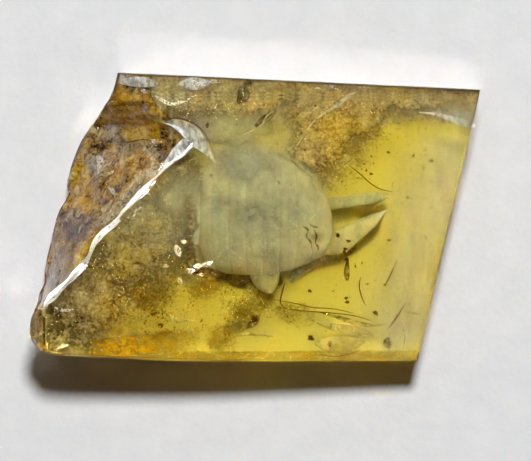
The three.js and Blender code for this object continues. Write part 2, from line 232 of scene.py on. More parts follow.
def ball(centre, radii, rings=12, sides=16):
    """A closed ellipsoid of rings along X, from almost one pole to the other."""
    turn = np.linspace(0.04, np.pi - 0.04, rings)[:, None]
    angle = np.linspace(0, 2 * np.pi, sides, endpoint=False)
    unit = np.stack([-np.cos(turn) + 0 * angle, np.sin(turn) * np.cos(angle),
                     np.sin(turn) * np.sin(angle)], -1)
    return skin(np.array(centre) + unit * radii)


# The amber

def wall_sides(shift):
    """The outline of the walls as four curves in plan. shift moves the broken edge inwards."""
    front_left = (FRONT_LEFT[0] + shift, FRONT_LEFT[1])
    broken = [(x + shift, y) for x, y in BROKEN_EDGE]
    return {
        "left": curved([front_left, *broken, (TOP_BACK_LEFT[0] + shift / 2, CREST_Y), BACK_LEFT]),
        "right": straight(FRONT_RIGHT, BACK_RIGHT),
        "front": curved([front_left, *FRONT_BOW, FRONT_RIGHT]),
        "back": straight(BACK_LEFT, BACK_RIGHT),
    }


TOP_SIDES = {
    "left": curved([TOP_FRONT_LEFT, *[(x + EDGE_BEVEL, y) for x, y in BROKEN_EDGE],
                    TOP_BACK_LEFT]),
    "right": straight(TOP_FRONT_RIGHT, TOP_BACK_RIGHT),
    "front": curved([TOP_FRONT_LEFT, *[(x, y + EDGE_BEVEL) for x, y in FRONT_BOW],
                     TOP_FRONT_RIGHT]),
    "back": straight(TOP_BACK_LEFT, TOP_BACK_RIGHT),
}
SHOULDER_SIDES = wall_sides(0)
BASE_SIDES = wall_sides(UNDERCUT)


def between(sides, u, v):
    """Points in plan at the shares u along X and v along Y between four side curves: the sum of
    the two ruled surfaces less the one that the corners span."""
    l, r = sides["left"](v), sides["right"](v)
    f, b = sides["front"](u), sides["back"](u)
    fl, bl = sides["left"](0.0), sides["left"](1.0)
    fr, br = sides["right"](0.0), sides["right"](1.0)
    u, v = u[..., None], v[..., None]
    corners = (1 - u) * (1 - v) * fl + u * (1 - v) * fr + (1 - u) * v * bl + u * v * br
    return (1 - u) * l + u * r + (1 - v) * f + v * b - corners


def top_plane(x, y):
    return MIDDLE_THICKNESS - FALL_TO_RIGHT * x + RISE_TO_BACK * y


def ridge_x(y):
    """The ridge's X at a given Y: straight spans between its points, and a fixed setback from
    the front corner before the first of them."""
    xs, ys = zip(*RIDGE)
    return np.where(y <= ys[0], TOP_FRONT_LEFT[0] + RIDGE_FRONT_SETBACK, np.interp(y, ys, xs))


def ridge_share(v):
    """The share u at which each row meets the ridge, by halving."""
    low, high = np.zeros_like(v), np.ones_like(v)
    for _ in range(24):
        middle = (low + high) / 2
        plan = between(TOP_SIDES, middle, v)
        left = plan[..., 0] < ridge_x(plan[..., 1])
        low, high = np.where(left, middle, low), np.where(left, high, middle)
    return np.maximum(low, 0.012)


RIDGE_ROWS = np.linspace(0, 1, 801)
RIDGE_SHARES = ridge_share(RIDGE_ROWS)


def bowls(x, y, chips):
    """1 in the middle of the nearest of some round bowls, 0 at its rim, less beyond it."""
    nearest = np.full(x.shape, 1.6)
    for cx, cy, r in chips:
        nearest = np.minimum(nearest, ((x - cx) ** 2 + (y - cy) ** 2) / r ** 2)
    return 1 - nearest


def facets(x, y, size, slope, seed):
    """The upper envelope of slightly hollow tilted facets, one round each point of a lattice
    that is shaken: the highest of their tilts less the squared distance from each point."""
    table = np.random.default_rng(seed).uniform(-1, 1, (4096, 4))
    column, row = np.floor(x / size).astype(np.int64), np.floor(y / size).astype(np.int64)
    highest = np.full(np.shape(x), -9.0)
    for i, j in itertools.product((-1, 0, 1), repeat=2):
        shake_x, shake_y, tilt_x, tilt_y = table[((column + i) * 73 + (row + j) * 1013) % 4096].T
        dx = x - (column + i + 0.5 + 0.45 * shake_x.T) * size
        dy = y - (row + j + 0.5 + 0.45 * shake_y.T) * size
        tilt = slope * (tilt_x.T * dx + tilt_y.T * dy)
        highest = np.maximum(highest, tilt - 0.14 * (dx ** 2 + dy ** 2) / size)
    return highest


def chip_depth(x, y):
    """The depth of the face's wide chip."""
    cx, cy, radius, deep = FACE_CHIP
    bowl = 1 - ((x - cx) ** 2 + (y - cy) ** 2) / radius ** 2
    return deep * np.maximum(bowl, 0)


def face_height(x, y):
    """The polished face: a plane less its chip, and waves too low to see but for the light that
    they gather below."""
    return top_plane(x, y) - chip_depth(x, y) + 0.006 * soft_noise((x, y), 2.2, 11)


def break_height(x, y, s, ridge_height, fine):
    """The break's height at the share s from its outer edge to the ridge. It rises on a curve
    that flattens towards the ridge, less the bowls of its chips, and if fine two sizes of facet
    and some waves. All of them fade at the ridge and at the crest."""
    front = top_plane(x, y) - FRONT_ROUNDING
    corner = top_plane(x, y) - CORNER_DROP
    lip = mix(front, BROKEN_LIP, smoothstep(-5.1, -3.9, y))
    lip = mix(lip, corner, smoothstep(4.9, CREST_Y, y))
    t = np.minimum(s, 1)
    rise = 0.38 * s + 0.62 * (1 - (1 - t) ** 2.2)
    fade = np.clip(4 * (1 - s), 0, 1) * smoothstep(0, 0.12, s) * smoothstep(-5, -4, y)
    fade = fade * smoothstep(CREST_Y, CREST_Y - 0.6, y)
    height = mix(lip, ridge_height, rise) - fade * CHIP_DEPTH * bowls(x, y, CHIPS)
    if fine:
        relief = facets(x, y, 0.7, 0.5, 3) + facets(x, y, 0.28, 0.45, 4) - 0.1
        relief = relief + 0.015 * soft_noise((x, y), 0.12, 6)
        fade = np.clip(6 * (1 - s), 0, 1) * smoothstep(CREST_Y, CREST_Y - 0.45, y)
        height = height + fade * np.clip(relief, -0.22, 0.14)
    return height


def soft_min(a, b, blend):
    """The lower of two heights, rounded over where they are nearer than blend."""
    near = np.maximum(blend - np.abs(a - b), 0) / blend
    return np.minimum(a, b) - near ** 2 * blend / 4


def corner_chip_plane(x, y):
    """The height of the plane through the corner chip's three points."""
    p, q, r = (np.array(point) for point in CORNER_CHIP)
    normal = np.cross(q - p, r - p)
    return p[2] - (normal[0] * (x - p[0]) + normal[1] * (y - p[1])) / normal[2]


def amber_top(u, v, fine=True):
    """Points of the amber's top, inside the back facet's crest, at the shares u and v."""
    ridge = np.interp(v, RIDGE_ROWS, RIDGE_SHARES)
    plan = between(TOP_SIDES, u, v)
    x, y = plan[..., 0], plan[..., 1]
    on_ridge = between(TOP_SIDES, ridge, v)
    ridge_height = face_height(on_ridge[..., 0], on_ridge[..., 1])
    rounding = RIDGE_ROUNDING * (1 + 0.5 * soft_noise((x, y), 1.3, 12))
    broken = break_height(x, y, u / ridge, ridge_height, fine)
    top = soft_min(face_height(x, y), broken, rounding)
    return np.stack([x, y, np.minimum(top, corner_chip_plane(x, y))], -1)


def top_grid(rows, break_columns, face_columns):
    """The shares and points of a grid over the top, whose columns follow the ridge and crowd
    towards it on the polished side."""
    v = np.linspace(0, 1, rows + 1)[:, None]
    ridge = ridge_share(v)
    over_break = ridge * np.linspace(0, 1, break_columns + 1)[:-1]
    over_face = mix(ridge, 1, np.linspace(0, 1, face_columns + 1) ** 1.8)
    u = np.hstack([over_break, over_face])
    v = np.broadcast_to(v, u.shape)
    return u, v, amber_top(u, v)


def top_at(x, y):
    """The top's height at places in plan, without its finest relief. Their shares u and v are
    found by ten corrections, and behind the crest the height falls along the back facet."""
    u, v = np.full(np.shape(x), 0.5), np.full(np.shape(x), 0.5)
    for _ in range(10):
        plan = between(TOP_SIDES, u, v)
        u = np.clip(u + (x - plan[..., 0]) / 19.5, 0, 1)
        v = np.clip(v + (y - plan[..., 1]) / 13.8, 0, 1)
    top = amber_top(u, v, fine=False)
    return top[..., 2] - BACK_FACET_FALL * np.maximum(y - top[..., 1], 0)


def sunk(stops):
    """Stops of a strand whose third value is the depth under the top, as heights."""
    x, y, depth, width, thickness = np.array(stops, float).T
    return np.stack([x, y, top_at(x, y) - depth, width, thickness], -1)


def rim_of(shape):
    """The indices round the edge of a grid, counter-clockwise from its first corner."""
    at = np.arange(shape[0] * shape[1]).reshape(shape)
    return np.concatenate([at[0, :-1], at[:-1, -1], at[-1, :0:-1], at[:0:-1, 0]])


AMBER_ROWS = 300
BREAK_COLUMNS = 190
FACE_COLUMNS = 80
WALL_LEVELS = 8
FACET_ROWS = 8


def amber_block():
    """The whole amber: the grid over its top, then the bevel and the back facet, walls down to
    the base and one flat face. The broken end's wall has shallow waves."""
    u, v, top = top_grid(AMBER_ROWS, BREAK_COLUMNS, FACE_COLUMNS)
    rim = rim_of(u.shape)
    points = top.reshape(-1, 3)
    u, v = u.reshape(-1)[rim], v.reshape(-1)[rim]
    inner = points[rim]
    plan = between(SHOULDER_SIDES, u, v)
    out = np.hypot(*(plan - inner[:, :2]).T)
    drop = np.where(v == 1, BACK_FACET_FALL * out, np.minimum(out, EDGE_BEVEL))
    t = np.linspace(0, 1, FACET_ROWS + 1)[1:, None]
    x, y = mix(inner[:, 0], plan[:, 0], t), mix(inner[:, 1], plan[:, 1], t)
    facet = np.stack([x, y, inner[:, 2] - t * drop + chip_depth(*inner[:, :2].T)
                      - chip_depth(x, y)], -1)
    base = np.column_stack([between(BASE_SIDES, u, v), np.zeros(len(rim))])
    levels = np.linspace(0, 1, WALL_LEVELS + 1)[1:, None, None]
    walls = mix(facet[-1], base, levels)
    broken = (u == 0) * smoothstep(0, 0.05, v) * smoothstep(1, 0.9, v)
    waves = 1 + soft_noise((walls[..., 1], walls[..., 2]), 0.7, 8)
    waves = waves + 0.5 * soft_noise((walls[..., 1], walls[..., 2]), 0.25, 9)
    walls[1:, :, 0] += (0.09 * broken * np.maximum(waves, 0))[1:]

    first = len(points)
    count = FACET_ROWS + WALL_LEVELS
    ring = np.vstack([rim, first + np.arange(count * len(rim)).reshape(-1, len(rim))])
    after = np.roll(ring, -1, axis=1)
    sides = np.stack([ring[:-1], ring[1:], after[1:], after[:-1]], -1).reshape(-1, 4)
    faces = np.vstack([grid_faces(*top.shape[:2]), sides]).tolist() + [ring[-1][::-1].tolist()]
    points = np.vstack([points, facet.reshape(-1, 3), walls.reshape(-1, 3)])
    return new_piece("amber_block", points, faces, sharp_above=20)


# Clouds and crusts inside the amber

SHEET_THICKNESS = 0.02
CRUST_DEPTH = 0.3
HAZE_DEPTH = 0.05
LOWER_CLOUDS_HEIGHT = 1


def blob(x, y, cx, cy, rx, ry, turn=0):
    """1 in the middle of a soft ellipse in plan, falling smoothly to 0 at its edge."""
    c, s = math.cos(math.radians(turn)), math.sin(math.radians(turn))
    across = ((x - cx) * c + (y - cy) * s) / rx
    along = ((y - cy) * c - (x - cx) * s) / ry
    return smoothstep(1, 0, np.hypot(across, along))


def off_line(x, y, points):
    """The distance in plan from a line through some points."""
    nearest = np.full(np.shape(x), 99.0)
    for (ax, ay), (bx, by) in itertools.pairwise(points):
        dx, dy = bx - ax, by - ay
        t = np.clip(((x - ax) * dx + (y - ay) * dy) / (dx * dx + dy * dy), 0, 1)
        nearest = np.minimum(nearest, np.hypot(x - ax - t * dx, y - ay - t * dy))
    return nearest


def most(*masks):
    return np.maximum.reduce(masks)


def slab(upper, lower, shown):
    """A closed shell between two grids of points, of the cells that have a shown corner, with
    an edge round them: a face for each side of a cell that no other shown cell has."""
    over = grid_faces(*upper.shape[:2])
    over = over[shown.ravel()[over].any(axis=1)]
    count = shown.size
    sides = np.stack([over, np.roll(over, -1, axis=1)], -1).reshape(-1, 2)
    keys = np.sort(sides, axis=1) @ [count, 1]
    _, which, times = np.unique(keys, return_inverse=True, return_counts=True)
    a, b = sides[times[which] == 1].T
    edge = np.stack([a, a + count, b + count, b], -1)
    points = np.vstack([upper.reshape(-1, 3), lower.reshape(-1, 3)])
    return points, np.vstack([over, over[:, ::-1] + count, edge]).tolist()


def layer(name, sides, height, size, masks, cover=("brown", "milk"), margin=0.012):
    """A thin closed sheet inside the amber. sides is its outline before the margin, height gives
    its Z from its plan and the top there, size its rows and columns, and masks its named values.
    It's cut away where those that are named as its cover are 0."""
    u, v = np.meshgrid(np.linspace(margin, 1 - margin, size[1]),
                       np.linspace(margin, 1 - margin, size[0]))
    x, y = np.moveaxis(between(sides, u, v), -1, 0)
    values = masks(x, y)
    upper = np.stack([x, y, np.maximum(height(x, y, top_at(x, y)), 0.25)], -1)
    lower = upper - np.array([0, 0, SHEET_THICKNESS])
    points, faces = slab(upper, lower, most(*(values[key] for key in cover)) > 0.01)
    values = {key: np.tile(value.ravel(), 2) for key, value in values.items()}
    return new_piece(name, points, faces, masks=values)


def from_insect(x, y):
    """How far a place is from the middle of the insect's body, 1 about at its edge in plan."""
    return np.hypot((x - 0.3) / 3.9, (y - 0.35) / 3.45)


def off_ridge(x, y):
    """How far a place is to the right of the ridge, less than 0 over the break."""
    return x - ridge_x(y)


def shaken(x, y):
    """The places with their X and Y moved by noise, so that soft shapes get uneven outlines."""
    dx = 0.4 * soft_noise((x, y), 1.5, 61) + 0.16 * soft_noise((x, y), 0.5, 62)
    dy = 0.4 * soft_noise((x, y), 1.5, 63) + 0.16 * soft_noise((x, y), 0.5, 64)
    return x + dx, y + dy


def panel(x, y, left, right, front, back, soft=0.15):
    """1 inside a box in plan, falling to 0 over its soft edge."""
    across = smoothstep(left - soft, left + soft, x) * smoothstep(right + soft, right - soft, x)
    along = smoothstep(front - soft, front + soft, y) * smoothstep(back + soft, back - soft, y)
    return across * along


def crust_masks(x, y):
    """Brown stain on the break, with painted light in it: a golden glow by its outer edge where
    light comes through the thin edge, and pale places that paint sheen on facets, beside the ridge
    and at the top left corner. Besides these, an orange panel and dark patches."""
    over = smoothstep(0.12, -0.12, off_ridge(x, y))
    rim = off_line(x, y, BROKEN_EDGE)
    # Painted reflection: a grey sheen beside the ridge, on its rounded side.
    by_ridge = smoothstep(-1, -0.25, off_ridge(x, y)) * panel(x, y, -9, -4, -0.2, 2.6, 0.5)
    x, y = shaken(x, y)
    strip = smoothstep(0.6, 0.2, off_line(x, y, [(-8.6, -0.9), (-9.4, -2.5), (-10.4, -3.7)]))
    # The first two blobs are painted light: the golden glow where light comes through the thin
    # outer edge.
    gold = most(1.3 * blob(x, y, -9.5, 2.6, 1.5, 2.4), 1.2 * blob(x, y, -9.2, 0.8, 1.1, 1.2),
                1.2 * panel(x, y, -6.9, -4.9, 4.05, 5.1), 1.1 * blob(x, y, -4.7, 7, 1.1, 1.2),
                strip, 0.8 * blob(x, y, -6.6, 6, 2.6, 1.2), 0.7 * blob(x, y, -7.4, 0.9, 1.6, 1.2),
                0.95 * blob(x, y, -10.2, -2.4, 1.5, 2.2))
    dark = most(1.2 * blob(x, y, -9.7, -0.5, 1.7, 1.4), blob(x, y, -8.4, 3.9, 1.0, 0.9),
                0.8 * blob(x, y, -8.1, 1.1, 0.9, 0.6), 0.6 * blob(x, y, -10.9, -3.4, 0.9, 1.2),
                0.8 * blob(x, y, -5.2, 3.4, 0.7, 0.9), 0.8 * smoothstep(0.34, 0.1, rim))
    # Painted reflection: the pale places paint sheen on facets, beside the ridge and at the top
    # left corner.
    pale = most(1.2 * blob(x, y, -8.2, 2.9, 0.8, 0.8), blob(x, y, -7.35, 4.55, 0.8, 0.9),
                0.5 * panel(x, y, -7.2, -5, 3.15, 3.85), 0.8 * panel(x, y, -7.4, -5.3, 6.9, 7.4),
                0.8 * by_ridge)
    gold, dark, pale = (np.clip(mask, 0, 1) for mask in (gold, dark, pale))
    corner = 1 - 0.75 * blob(x, y, -11.6, -6, 1.5, 2)
    return {"brown": 0.9 * over * (1 - 0.5 * pale) * corner, "milk": pale * over, "warm": 1 + 0 * x,
            "gold": gold * (1 - dark), "dark": dark}


def upper_masks(x, y):
    """The brown flow layer over the insect's back right and along the back edge, the brown haze
    over the broken third, and pale milky haze round and over the insect. Along the back edge the
    milk mask also paints the back facet's grey sheen, and the dark mask paints shade by the back
    right edge."""
    beside = smoothstep(-0.05, 0.2, off_ridge(x, y))
    body = smoothstep(1.05, 0.75, from_insect(x, y))
    x, y = shaken(x, y)
    off_clear = 0.784 * (x - 3.73) - 0.622 * (y - 1.26)
    right = smoothstep(0.9, -1.6, off_clear) * smoothstep(0.2, 3, x) * smoothstep(0.6, 2, y)
    strip = smoothstep(4.7, 6.6, y)
    left = most(blob(x, y, -6.4, -0.6, 4.6, 4.6), blob(x, y, -9, -4, 3.4, 3.4),
                blob(x, y, -5, 2.4, 3, 3), 0.75 * blob(x, y, -10.6, -6.4, 2.6, 1.7))
    brown = most(0.78 * right, 0.75 * strip, 1.1 * left * beside) * (1 - 0.97 * body)
    brown = brown * (1 - 0.5 * blob(x, y, -4.4, 1.2, 1.6, 3))
    streak = smoothstep(0.7, 0.1, off_line(x, y, [(-3.6, 0.2), (-3.6, -1.2), (-3.1, -2.8)]))
    # The milk mask's strip along the back edge paints the back facet's grey sheen: painted
    # reflection.
    milk = most(0.3 * strip, 0.75 * blob(x, y, -1.3, 5, 4.8, 2.8),
                0.9 * blob(x, y, -4.5, 1.2, 2.6, 3.6), 0.5 * blob(x, y, -0.6, 2.8, 5.4, 4),
                0.42 * blob(x, y, 0, 0.2, 6, 5))
    warm = most(right, 0.6 * strip * smoothstep(7.5, 5, x), 0.5 * blob(x, y, -8, -4, 3, 2.5))
    gold = most(0.8 * blob(x, y, 4.3, 4.8, 3, 2.6), 0.7 * blob(x, y, -0.4, 6, 2.4, 1),
                0.5 * blob(x, y, -5.2, 1.9, 1.4, 0.9), 0.6 * blob(x, y, 2.2, 6.9, 2, 0.9),
                0.7 * blob(x, y, -7.6, -5, 2.2, 1.2), 0.5 * blob(x, y, -6.8, -2.4, 1.5, 0.9))
    # The dark panel along the back right edge paints the shade that the back wall leaves there:
    # painted shade.
    dark = most(0.9 * streak, 0.9 * blob(x, y, -6.1, -1, 1.3, 0.9),
                0.6 * blob(x, y, 3.4, 2.6, 1.2, 0.8), 0.6 * blob(x, y, -9.4, -3.6, 1.6, 1),
                0.45 * panel(x, y, 7.8, 11.8, 5.7, 6.7, 0.5),
                0.6 * blob(x, y, -2.4, 3.4, 0.5, 0.5), 0.4 * blob(x, y, 1.7, 5, 0.8, 0.8))
    return {"brown": np.clip(most(brown, 0.7 * streak), 0, 0.95), "milk": milk, "warm": warm,
            "gold": gold, "dark": dark}


def lower_masks(x, y):
    """Brown crumbs and streaks under the insect and along its front, with a thin brown line that
    paints the insect's shadow by its front right edge, golden clouds at the front left, and painted
    light: a bright orange panel whose back edge is straight and an orange strip along the front
    edge, for the glow that the front wall gathers."""
    # Painted light: the orange panel and the strip along the front edge paint the glow that the
    # front wall gathers.
    orange = panel(x, y - 0.1 * (x + 9.4), -20, 20, -7.6, -6.45, 0.12)
    orange = orange * smoothstep(-10.2, -8.6, x) * smoothstep(-1.6, -6.4, x)
    rim = 0.8 * smoothstep(-7.05, -7.15, y) * smoothstep(-9.8, -9.2, x)
    x, y = shaken(x, y)
    fringe = smoothstep(0.6, 0.1, off_line(x, y, [(-3.2, -2.8), (-1, -3.4), (0.6, -3.3)]))
    # A thin brown line along the insect's front right edge, where its shadow falls: painted shadow.
    edge = smoothstep(0.3, 0.05, off_line(x, y, [(1.6, -3.1), (3.6, -2.1), (5.2, -1.3)]))
    streak = smoothstep(1, 0.1, off_line(x, y, [(0.3, -3.9), (-1.1, -5.2), (-2.1, -6.6)]))
    brown = most(0.8 * fringe, 0.45 * edge, 0.35 * streak, 0.6 * blob(x, y, -9.2, -4.8, 3, 2.6),
                 0.5 * blob(x, y, -6.4, -3.9, 3.4, 1.8), 0.3 * blob(x, y, 1.9, -5, 2.2, 0.8, -12),
                 0.5 * orange, 0.5 * rim, 0.4 * blob(x, y, -2.6, -3.9, 1.6, 1.1))
    gold = most(orange, 0.7 * blob(x, y, -6, -5, 2.5, 1.5), 0.6 * blob(x, y, -8.7, -6, 1.2, 1),
                0.6 * blob(x, y, -2.6, -3.9, 2.5, 1.5))
    dark = most(0.8 * blob(x, y, -1, -5.1, 0.8, 1.1, -40), 0.4 * blob(x, y, -9.6, -4.2, 1.5, 1),
                0.5 * edge, 0.3 * fringe)
    return {"brown": brown, "milk": 0 * x, "warm": 1 + 0 * x, "gold": gold,
            "dark": dark * (1 - orange), "orange": most(0.75 * orange, 0.5 * rim)}


def cloud_depth(x, y):
    """The upper clouds lie just over the insect's back, and deeper beside it."""
    beside = smoothstep(0.95, 1.35, from_insect(x, y))
    return 0.5 + 0.9 * beside + 0.1 * soft_noise((x, y), 2.5, 41)


def haze_masks(x, y):
    """Pale haze near the right edge, a little denser by the back right corner: painted light, for
    the glow that the right wall and that corner gather.
    """
    right = FRONT_RIGHT[0] + (y - FRONT_RIGHT[1]) * (BACK_RIGHT[0] - FRONT_RIGHT[0]) / DEPTH
    edge = smoothstep(4.8, 0.6, right - x) * smoothstep(5.4, 2.5, y) * smoothstep(-8.4, -5.5, y)
    glow = blob(x, y, 10.8, 5.1, 2.6, 1.5, -9)
    return {"haze": most(0.38 * edge, 0.34 * glow)}


def front_stain():
    """A skin just inside the front wall, from near the base to near the top: an orange film that
    paints the glow that the front wall gathers.
    """
    u = np.linspace(0.03, 0.985, 120)
    levels = np.linspace(0, 1, 9)[:, None]
    u, levels = np.broadcast_arrays(u, levels)
    plan = between(SHOULDER_SIDES, u, np.zeros(u.shape))
    x = plan[..., 0]
    z = mix(0.2, amber_top(u, np.zeros(u.shape), fine=False)[..., 2] - 0.3, levels)
    outer = np.stack([x, plan[..., 1] + 0.12, z], -1)
    inner = outer + np.array([0, SHEET_THICKNESS, 0])
    return new_piece("front_stain", *slab(outer, inner, np.full(u.shape, True)))


# Grains, strands and cracks inside the amber

GRAIN_COUNT = 2200
FLAKE_COUNT = 2600


def grains(places, sizes, seed):
    """A lumpy eight-sided grain at each place: an octahedron turned at random, its corners at
    uneven distances."""
    random = np.random.default_rng(seed)
    count = len(places)
    corners = np.array([(1, 0, 0), (-1, 0, 0), (0, 1, 0), (0, -1, 0), (0, 0, 1), (0, 0, -1)])
    faces = np.array([(0, 2, 4), (2, 1, 4), (1, 3, 4), (3, 0, 4),
                      (2, 0, 5), (1, 2, 5), (3, 1, 5), (0, 3, 5)])
    turns = np.linalg.qr(random.normal(size=(count, 3, 3)))[0]
    turns *= np.linalg.det(turns)[:, None, None]
    shapes = corners * random.uniform(0.45, 1.25, (count, 6, 1)) @ turns
    points = np.asarray(places)[:, None] + shapes * np.asarray(sizes)[:, None, None]
    first = 6 * np.arange(count)[:, None, None]
    return points.reshape(-1, 3), (faces + first).reshape(-1, 3)


def strewn(count, density, heights, seed):
    """Places in the amber, more where density is high. heights gives the Z of each from its
    plan, the top's height there and a random share."""
    random = np.random.default_rng(seed)
    tries = 30 * count
    u, v = random.uniform(0.02, 0.985, tries), random.uniform(0.02, 0.98, tries)
    plan = between(TOP_SIDES, u, v)
    kept = np.flatnonzero(random.uniform(0, 1, tries) < density(*plan.T))[:count]
    u, v = u[kept], v[kept]
    x, y, top = amber_top(u, v, fine=False).T
    z = np.clip(heights(x, y, top, random.uniform(0, 1, len(x))), 0.3, top - 0.25)
    return np.stack([x, y, z], -1)


def few_by_insect(x, y, few, near):
    """A density: few over and under the insect's body, and elsewhere few and near together."""
    inside = ((x - 0.4) / 3.9) ** 2 + ((y - 0.4) / 3.6) ** 2 < 1
    return np.where(inside, few, few + near)


def grain_density(x, y):
    near = most(blob(x, y, -5.4, -5.3, 4.6, 2.6), 0.8 * blob(x, y, -0.8, -4.6, 2.6, 1.6),
                0.5 * blob(x, y, 5, 4, 3.4, 3))
    return few_by_insect(x, y, 0.04, near)


def flake_density(x, y):
    near = most(smoothstep(4.6, 6.2, y) * smoothstep(8, 5, x), blob(x, y, 3.8, 4.4, 3.2, 3),
                blob(x, y, -6.2, -4.6, 5, 3), 0.7 * blob(x, y, -5.6, 0, 3.4, 4))
    return few_by_insect(x, y, 0.02, near)


def grain_height(x, y, top, share):
    """Most grains lie in a sheet a little under the top face, the rest in one near the base."""
    upper = top - 0.9 - 1.1 * (share * 3 % 1)
    return np.where(share < 0.6, upper, 0.6 + 1.1 * (share * 7 % 1))


# Dark specks: x, y, z and size.
SPECKS = [
    (4.8, -2.2, 3.2, 0.13), (4.85, -2.45, 3.1, 0.1), (4.9, -4.52, 3.2, 0.15),
    (4.8, -4.3, 3.3, 0.09), (6.43, -5.09, 3.0, 0.19), (7.1, -6.7, 2.6, 0.14),
    (6.9, -6.6, 2.6, 0.12), (7.07, 3.51, 3.4, 0.1), (9.32, 3.08, 3.2, 0.13),
    (8.41, 3.35, 3.3, 0.1), (8.9, 2.7, 3.3, 0.06), (7.1, -1.2, 3.2, 0.07),
    (6.9, -3.6, 3.1, 0.1), (5.3, -2.6, 3.2, 0.06), (-2.6, 4.9, 4.9, 0.13),
    (1.2, 1.9, 4.3, 0.09), (-0.2, -5.4, 2, 0.22), (-5.6, -5.1, 2.6, 0.12),
    (-5.2, -5.7, 2.5, 0.16), (4.35, -0.95, 4.1, 0.12), (4.9, -1.25, 4.1, 0.09),
    (4.75, -1.7, 4.1, 0.1), (5, -1.75, 4.1, 0.08), (6.1, 2.35, 3.4, 0.1), (8.1, 1.1, 3.3, 0.08),
    (3.9, -6.75, 2.9, 0.14), (2.9, -6.4, 2.9, 0.16), (2.85, -3.95, 2.8, 0.1),
]


def flat(level, ends, middle, *stops):
    """A strand's stops that share one height, or one depth under the top. Each is given as x, y
    and half width, and its half thickness is ends at both ends and middle between them."""
    thicknesses = [ends, *[middle] * (len(stops) - 2), ends]
    return [(x, y, level, width, thickness)
            for (x, y, width), thickness in zip(stops, thicknesses)]


# A strand that isn't flat is a list of x, y, z, half width and half thickness.
DARK_STRANDS = [
    [(5.59, -3.13, 3, 0.012, 0.012), (5.5, -3.45, 3, 0.032, 0.03),
     (5.52, -3.85, 2.95, 0.036, 0.03), (5.65, -4.3, 2.9, 0.03, 0.03),
     (5.84, -4.7, 2.9, 0.01, 0.01)],
    [(7.97, -4.57, 3.2, 0.01, 0.01), (7.75, -4.95, 3.2, 0.035, 0.03),
     (7.5, -5.35, 3.1, 0.045, 0.03), (7.25, -5.7, 3, 0.025, 0.02), (7.03, -5.96, 3, 0.01, 0.01)],
    [(8, -5.05, 3.1, 0.015, 0.015), (8.4, -5.1, 3.1, 0.028, 0.025), (8.85, -5.17, 3.1, 0.01, 0.01)],
    [(7.52, -2.27, 3.2, 0.015, 0.015), (7.3, -2.75, 3.2, 0.04, 0.02),
     (7.05, -3.3, 3.2, 0.045, 0.02), (6.92, -3.53, 3.2, 0.012, 0.012)],
    [(4.9, 2.85, 3.9, 0.012, 0.012), (5.45, 2.42, 3.8, 0.03, 0.028),
     (6.1, 1.85, 3.7, 0.034, 0.03), (6.6, 1.55, 3.6, 0.028, 0.025), (7.3, 1.4, 3.5, 0.01, 0.01)],
    [(0.9, -4.35, 3, 0.012, 0.012), (2, -4.55, 3, 0.024, 0.02), (3, -4.78, 3, 0.028, 0.02),
     (4.1, -4.86, 2.95, 0.024, 0.02), (5.2, -5.1, 2.9, 0.012, 0.012)],
    [(1, -4.75, 2.8, 0.012, 0.012), (2.4, -4.95, 2.8, 0.028, 0.02), (4, -5.08, 2.8, 0.028, 0.02),
     (5.3, -5.25, 2.8, 0.024, 0.02), (6.4, -5.6, 2.8, 0.01, 0.01)],
    [(1.5, -3.4, 3, 0.012, 0.012), (1.35, -3.9, 2.9, 0.035, 0.02), (1.25, -4.5, 2.9, 0.03, 0.02),
     (1.5, -4.85, 2.8, 0.012, 0.012)],
    flat(2, 0.012, 0.02, (3.3, -7.3, 0.012), (4.3, -7.4, 0.03), (5, -7.25, 0.03), (5.6, -7, 0.012)),
]

# These lie right under the surface, and their third value is the depth.
SHALLOW_STRANDS = [
    flat(0.1, 0.02, 0.03,
         (-7.4, 4, 0.02), (-6.8, 3.98, 0.045), (-6.2, 4.12, 0.05), (-5.5, 4.05, 0.02)),
    flat(0.1, 0.02, 0.03, (-8.9, 3.5, 0.02), (-8.5, 3.2, 0.05), (-8.2, 2.7, 0.02)),
    [(-4.9, 5.3, 0.1, 0.02, 0.02), (-3.9, 5.25, 0.1, 0.035, 0.03), (-2.9, 4.7, 0.1, 0.03, 0.03),
     (-2.2, 3.4, 0.1, 0.01, 0.01)],
]

# Reddish-brown marks over the insect's back end.
INSECT_MARKS = [
    [(2.5, -0.45, 3.7, 0.03, 0.02), (2.75, -0.65, 3.7, 0.07, 0.02), (2.65, -1, 3.7, 0.04, 0.02),
     (2.9, -1.3, 3.7, 0.05, 0.02), (2.95, -1.65, 3.6, 0.02, 0.02)],
    [(3.05, -0.6, 3.7, 0.02, 0.02), (3.2, -0.95, 3.7, 0.05, 0.02), (3.15, -1.3, 3.7, 0.03, 0.02),
     (3.3, -1.6, 3.6, 0.05, 0.02), (3.25, -1.8, 3.5, 0.02, 0.02)],
    [(2.8, -0.3, 3.75, 0.02, 0.02), (3, -0.45, 3.75, 0.05, 0.02), (3.3, -0.5, 3.7, 0.02, 0.02)],
]

